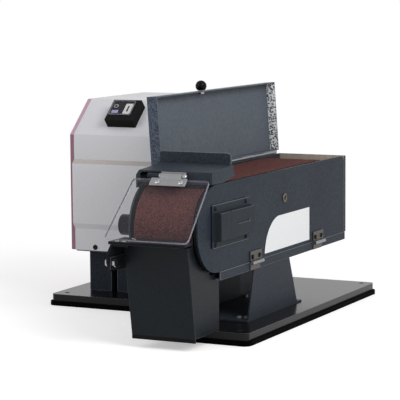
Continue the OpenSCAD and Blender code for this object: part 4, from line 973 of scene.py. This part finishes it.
def on_rim(at, n):
    """The pocket's raised edge, except at its fold line, and the cover's own top and bottom edges."""
    near_top = np.abs(at[:, 0] - (DOOR_X + RIM_HEIGHT + POCKET_HEIGHT - 0.7)) < 0.55
    pocket_edge = near_top & (n[:, 0] < 0.95) & (np.abs(at[:, 1] - FOLD_Y) > 3.0)
    return pocket_edge | (at[:, 2] < COVER_Z[0] + 0.7) | (at[:, 2] > COVER_Z[1] - 0.7)


def on_front_wall(at, n):
    """The pocket's sloping wall, which lies in the shade and gets the darker box coat as painted shade."""
    return looks_forwards(n, 0.5) & (at[:, 1] < FRONT_WALL_Y)


# The cover's rim and the pocket's raised edge get the paler coat as a painted highlight.
print("rubbed faces", second_finish(cover_pressing, edge_highlight_coat, on_rim))
print("front wall faces", second_finish(cover_pressing, box_coat, on_front_wall))

# %% [markdown]
# ## Knob of the lid
# A ball of black phenolic resin on a bright stud with a thin collar, its head inside the lid. A sphere and
# some cylinders would do, but they would meet in hard seams. Both pieces are turned on the real
# machine too, so each is one profile turned round the stud's axis, and the ball ends in a flat
# where it meets the collar.

# %% Turn the knob
BALL_R, BALL_Z, FLAT_BELOW = 9.4, 6.9, 6.8
knob_seat = (127.0, 12.0, 9.25)
ball_rings = [(0.0, BALL_Z - FLAT_BELOW)] + [(BALL_R * math.sin(a), BALL_Z + BALL_R * math.cos(a))
                                             for a in np.linspace(math.acos(-FLAT_BELOW / BALL_R), 0.0, 36)]
ball = moved(on_lid, round_body(ball_rings, knob_seat, X, 64))
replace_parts(dressed("lid_knob_ball", [ball], "lid_knob", ball_plastic), "lid_knob")
stud_rings = [(0.0, -7.0), (3.7, -7.0), (4.3, -6.4), (4.3, -3.1), (2.8, -3.1), (2.8, -0.9), (4.8, -0.9),
              (5.0, -0.7), (5.0, -0.2), (4.8, 0.0), (2.8, 0.0), (2.8, 5.0), (0.0, 5.0)]
turned_stud = moved(on_lid, round_body(stud_rings, knob_seat, X))
stud = dressed("knob_stud_turned", [turned_stud], "knob_stud", bright_steel, smooth_below=25.0)
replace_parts(stud, "knob_stud")
print("knob stands", round(BALL_Z + BALL_R, 2), "mm off the lid")

# %% [markdown]
# ## Switch
# Two keys sit in a thick black case under a clear flap: a black one with a ring and a lilac chip, a pale
# one with a bar. A picture could carry the marks, but it would blur close up. They are thin raised
# mouldings instead, a turned ring and two rounded plates, and each rides on its key.

# %% Mould the marks
def ring_mark(origin, radius, width, height):
    """A flat closed ring: a rectangle width x height with a rounded top, carried round its centre."""
    half = width / 2.0
    profile = [(radius - half, -0.2), (radius - half, height * 0.7), (radius - half * 0.6, height),
               (radius + half * 0.6, height), (radius + half, height * 0.7), (radius + half, -0.2)]
    angle = np.arange(64) * 2.0 * math.pi / 64
    r, h = np.array(profile).T
    level = np.broadcast_to(h[:, None], (len(profile), len(angle)))
    points = np.stack([r[:, None] * np.cos(angle), r[:, None] * np.sin(angle), level], -1)
    return patch(points + np.array(origin, float), True, True)


def box_outline(x0, y0, x1, y1, radius):
    """A rectangle from (x0, y0) to (x1, y1) with round corners."""
    return rounded_outline([(x0, y0), (x1, y0), (x1, y1), (x0, y1)], radius)


def mark(outline):
    """A thin rounded plate that is set into a key and stands proud of it."""
    return moved(on_slant, plate(outline, KEY_TOP - 0.2, KEY_TOP + 0.25, 0.1))


KEY_TOP = 17.3
off_ring = moved(on_slant, ring_mark((-17.5, 34.5, KEY_TOP), 3.6, 1.3, 0.25))
dressed("off_mark", [off_ring], "off_button", mark_grey)
dressed("off_chip", [mark(box_outline(-22.0, 17.5, -9.0, 24.5, 0.8))], "off_button", lilac_plastic)
dressed("on_mark", [mark(box_outline(6.3, 21.5, 9.1, 35.5, 0.9))], "on_button", case_plastic)
print("marks set into key tops at", KEY_TOP, "mm")

# %% Mould the flap
pane = moved(on_slant, plate(box_outline(-24.0, 13.0, 17.5, 45.3, 2.0), 18.4, 19.2, 0.15))
dressed("flap_pane", [pane], "switch_window", clear_panel)
outer, inner = box_outline(-25.0, 12.0, 18.5, 46.3, 3.0), box_outline(-23.4, 13.6, 16.9, 44.7, 1.8)
RIM_FOOT, RIM_SHOULDER, RIM_TOP, RIM_CHAMFER = 18.0, 19.7, 20.0, 0.3
rim_rings = [(inner, RIM_FOOT), (inner, RIM_SHOULDER), (inset(inner, -RIM_CHAMFER), RIM_TOP),
             (inset(outer, RIM_CHAMFER), RIM_TOP), (outer, RIM_SHOULDER), (outer, RIM_FOOT)]
rim = np.stack([np.column_stack([ring, np.full(len(ring), height)]) for ring, height in rim_rings])
# The rim takes the paler edge sheet, a painted highlight of the light that leaves it at its edge.
flap_rim = dressed("flap_rim", [moved(on_slant, patch(rim, True, True))], "switch_window", lit_clear_edge)
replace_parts(flap_rim, "switch_window")
print("flap rim has", len(outer), "points round")

# %% [markdown]
# ## Door fastener
# A quarter-turn fastener: a brass ring round a dark slotted core. Both are turned parts, so the ring is a
# profile turned round the fastener's axis, and the core is a small screw head with a bar-shaped
# recess from the same function that makes the screws.

# %% Turn the fastener
LATCH_MM = (DOOR_X, 22.0, 205.0)
CORE_SEAT_MM = (DOOR_X + 1.1, 22.0, 205.0)
ring_rings = [(0.0, 0.0), (7.0, 0.0), (7.0, 1.2), (6.5, 1.8), (5.9, 2.0), (5.3, 1.8), (5.0, 1.2), (0.0, 1.2)]
stem_rings = [(0.0, -13.0), (3.4, -13.0), (3.5, -2.5), (5.9, -2.5), (5.9, 0.5), (0.0, 0.5)]
turned_parts = [round_body(rings, LATCH_MM, X, 64) for rings in (ring_rings, stem_rings)]
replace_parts(dressed("latch_ring", turned_parts, "door_latch", brass), "door_latch")
core = screw(CORE_SEAT_MM, X, (3.0, 0.5), (4.9, 0.7, 0.2), bar(4.3, 0.9), 0.6, 1.0)
dressed("latch_core", [core], "door_latch", dark_steel, smooth_below=40.0)
print("fastener made")

# %% [markdown]
# ## Studio
# The machine stands in an even white world. It is pure white to the camera, to reflections and through
# clear sheet, and only moderately bright as a light, so pale paint keeps its tone against it. Many lamps
# could light the machine from all round, but two are enough with that world: a large soft one lights
# the door and the right side, and a weaker one fills in from the left of the front.

# %% Light-path helpers
def add_node(tree, kind, operation=None):
    """A new shader node, with its operation set where it has one."""
    made = tree.nodes.new(kind)
    if operation:
        made.operation = operation
    return made


def seen_directly(tree):
    """1 for camera, mirror and glass rays, 0 for the rays that light a surface."""
    rays = add_node(tree, "ShaderNodeLightPath")
    first, second = (add_node(tree, "ShaderNodeMath", "MAXIMUM") for _ in range(2))
    tree.links.new(rays.outputs["Is Camera Ray"], first.inputs[0])
    tree.links.new(rays.outputs["Is Glossy Ray"], first.inputs[1])
    tree.links.new(first.outputs[0], second.inputs[0])
    tree.links.new(rays.outputs["Is Transmission Ray"], second.inputs[1])
    return second.outputs[0]


def mixed(tree, factor, a, b):
    """Shader a where factor is 0 and b where it is 1."""
    joined = add_node(tree, "ShaderNodeMixShader")
    tree.links.new(factor, joined.inputs[0])
    tree.links.new(a, joined.inputs[1])
    tree.links.new(b, joined.inputs[2])
    return joined.outputs[0]


print("light-path helpers ready")

# %% World and lamps
def lamp(name, place, size, power):
    """A square area lamp at place that faces the machine."""
    light = bpy.data.lights.new(name, "AREA")
    light.energy, light.size = power, size
    made = bpy.data.objects.new(name, light)
    scene.collection.objects.link(made)
    back = unit(np.array(place) - MACHINE_MIDDLE)
    side = unit(np.cross([0.0, 0.0, 1.0], back))
    pose = np.eye(4)
    pose[:3, :3] = np.column_stack([side, np.cross(back, side), back])
    pose[:3, 3] = place
    made.matrix_world = Matrix(pose.tolist())


AMBIENT = 0.50
MACHINE_MIDDLE = np.array([0.0, 0.0, 0.2])
WHITE = (1.0, 1.0, 1.0, 1.0)
world = bpy.data.worlds.new("studio")
world.use_nodes = True
scene.world = world
sky = world.node_tree
ambient = sky.nodes["Background"]
ambient.inputs["Color"].default_value = WHITE
ambient.inputs["Strength"].default_value = AMBIENT
plain_white = add_node(sky, "ShaderNodeBackground")
plain_white.inputs["Color"].default_value = WHITE
sky.links.new(mixed(sky, seen_directly(sky), ambient.outputs[0], plain_white.outputs[0]),
              sky.nodes["World Output"].inputs["Surface"])
lamp("right_lamp", (2.0, -0.9, 1.7), 1.2, 34.0)
lamp("left_lamp", (-1.6, -1.9, 1.5), 1.4, 11.0)
scene.view_settings.view_transform = "Standard"
print("world and lamps ready")

# %% [markdown]
# ## Floor
# The floor keeps the machine's soft shadow and fades to pure white away from it. A shadow catcher would
# need the picture to be put together afterwards. This floor is matt paint with a little glow near the
# machine and a plain white glow further off, and the distance from the middle mixes the two.

# %% Floor
FLOOR_HALF = 8.0
FLOOR_GLOW = 0.42
NEAR, FAR = 0.55, 1.2
corners = [(-FLOOR_HALF, -FLOOR_HALF, 0.0), (FLOOR_HALF, -FLOOR_HALF, 0.0), (FLOOR_HALF, FLOOR_HALF, 0.0),
           (-FLOOR_HALF, FLOOR_HALF, 0.0)]
floor_mesh = bpy.data.meshes.new("floor")
floor_mesh.from_pydata(corners, [], [(0, 1, 2, 3)])
floor = bpy.data.objects.new("floor", floor_mesh)
scene.collection.objects.link(floor)

floor_paint = Finish("floor_paint", (0.9, 0.9, 0.9), 0.9, Specular_IOR_Level=0.0)
floor_mesh.materials.append(floor_paint.material)
tree = floor_paint.tree
matt = floor_paint.shader.outputs[0]
glow = add_node(tree, "ShaderNodeEmission")
glow.inputs["Strength"].default_value = FLOOR_GLOW
lifted = add_node(tree, "ShaderNodeAddShader")
tree.links.new(matt, lifted.inputs[0])
tree.links.new(glow.outputs[0], lifted.inputs[1])
white = add_node(tree, "ShaderNodeEmission")
away = floor_paint.node("ShaderNodeVectorMath", {"operation": "LENGTH"}, {0: floor_paint.place}, 1)
far_off = floor_paint.spread(away, NEAR, FAR)
shown = mixed(tree, far_off.socket, lifted.outputs[0], white.outputs[0])
tree.links.new(mixed(tree, seen_directly(tree), matt, shown), tree.nodes["Material Output"].inputs["Surface"])
print("floor is white from", FAR, "m on")

# %% [markdown]
# ## Sizes
# The finish must not change how big the machine is.
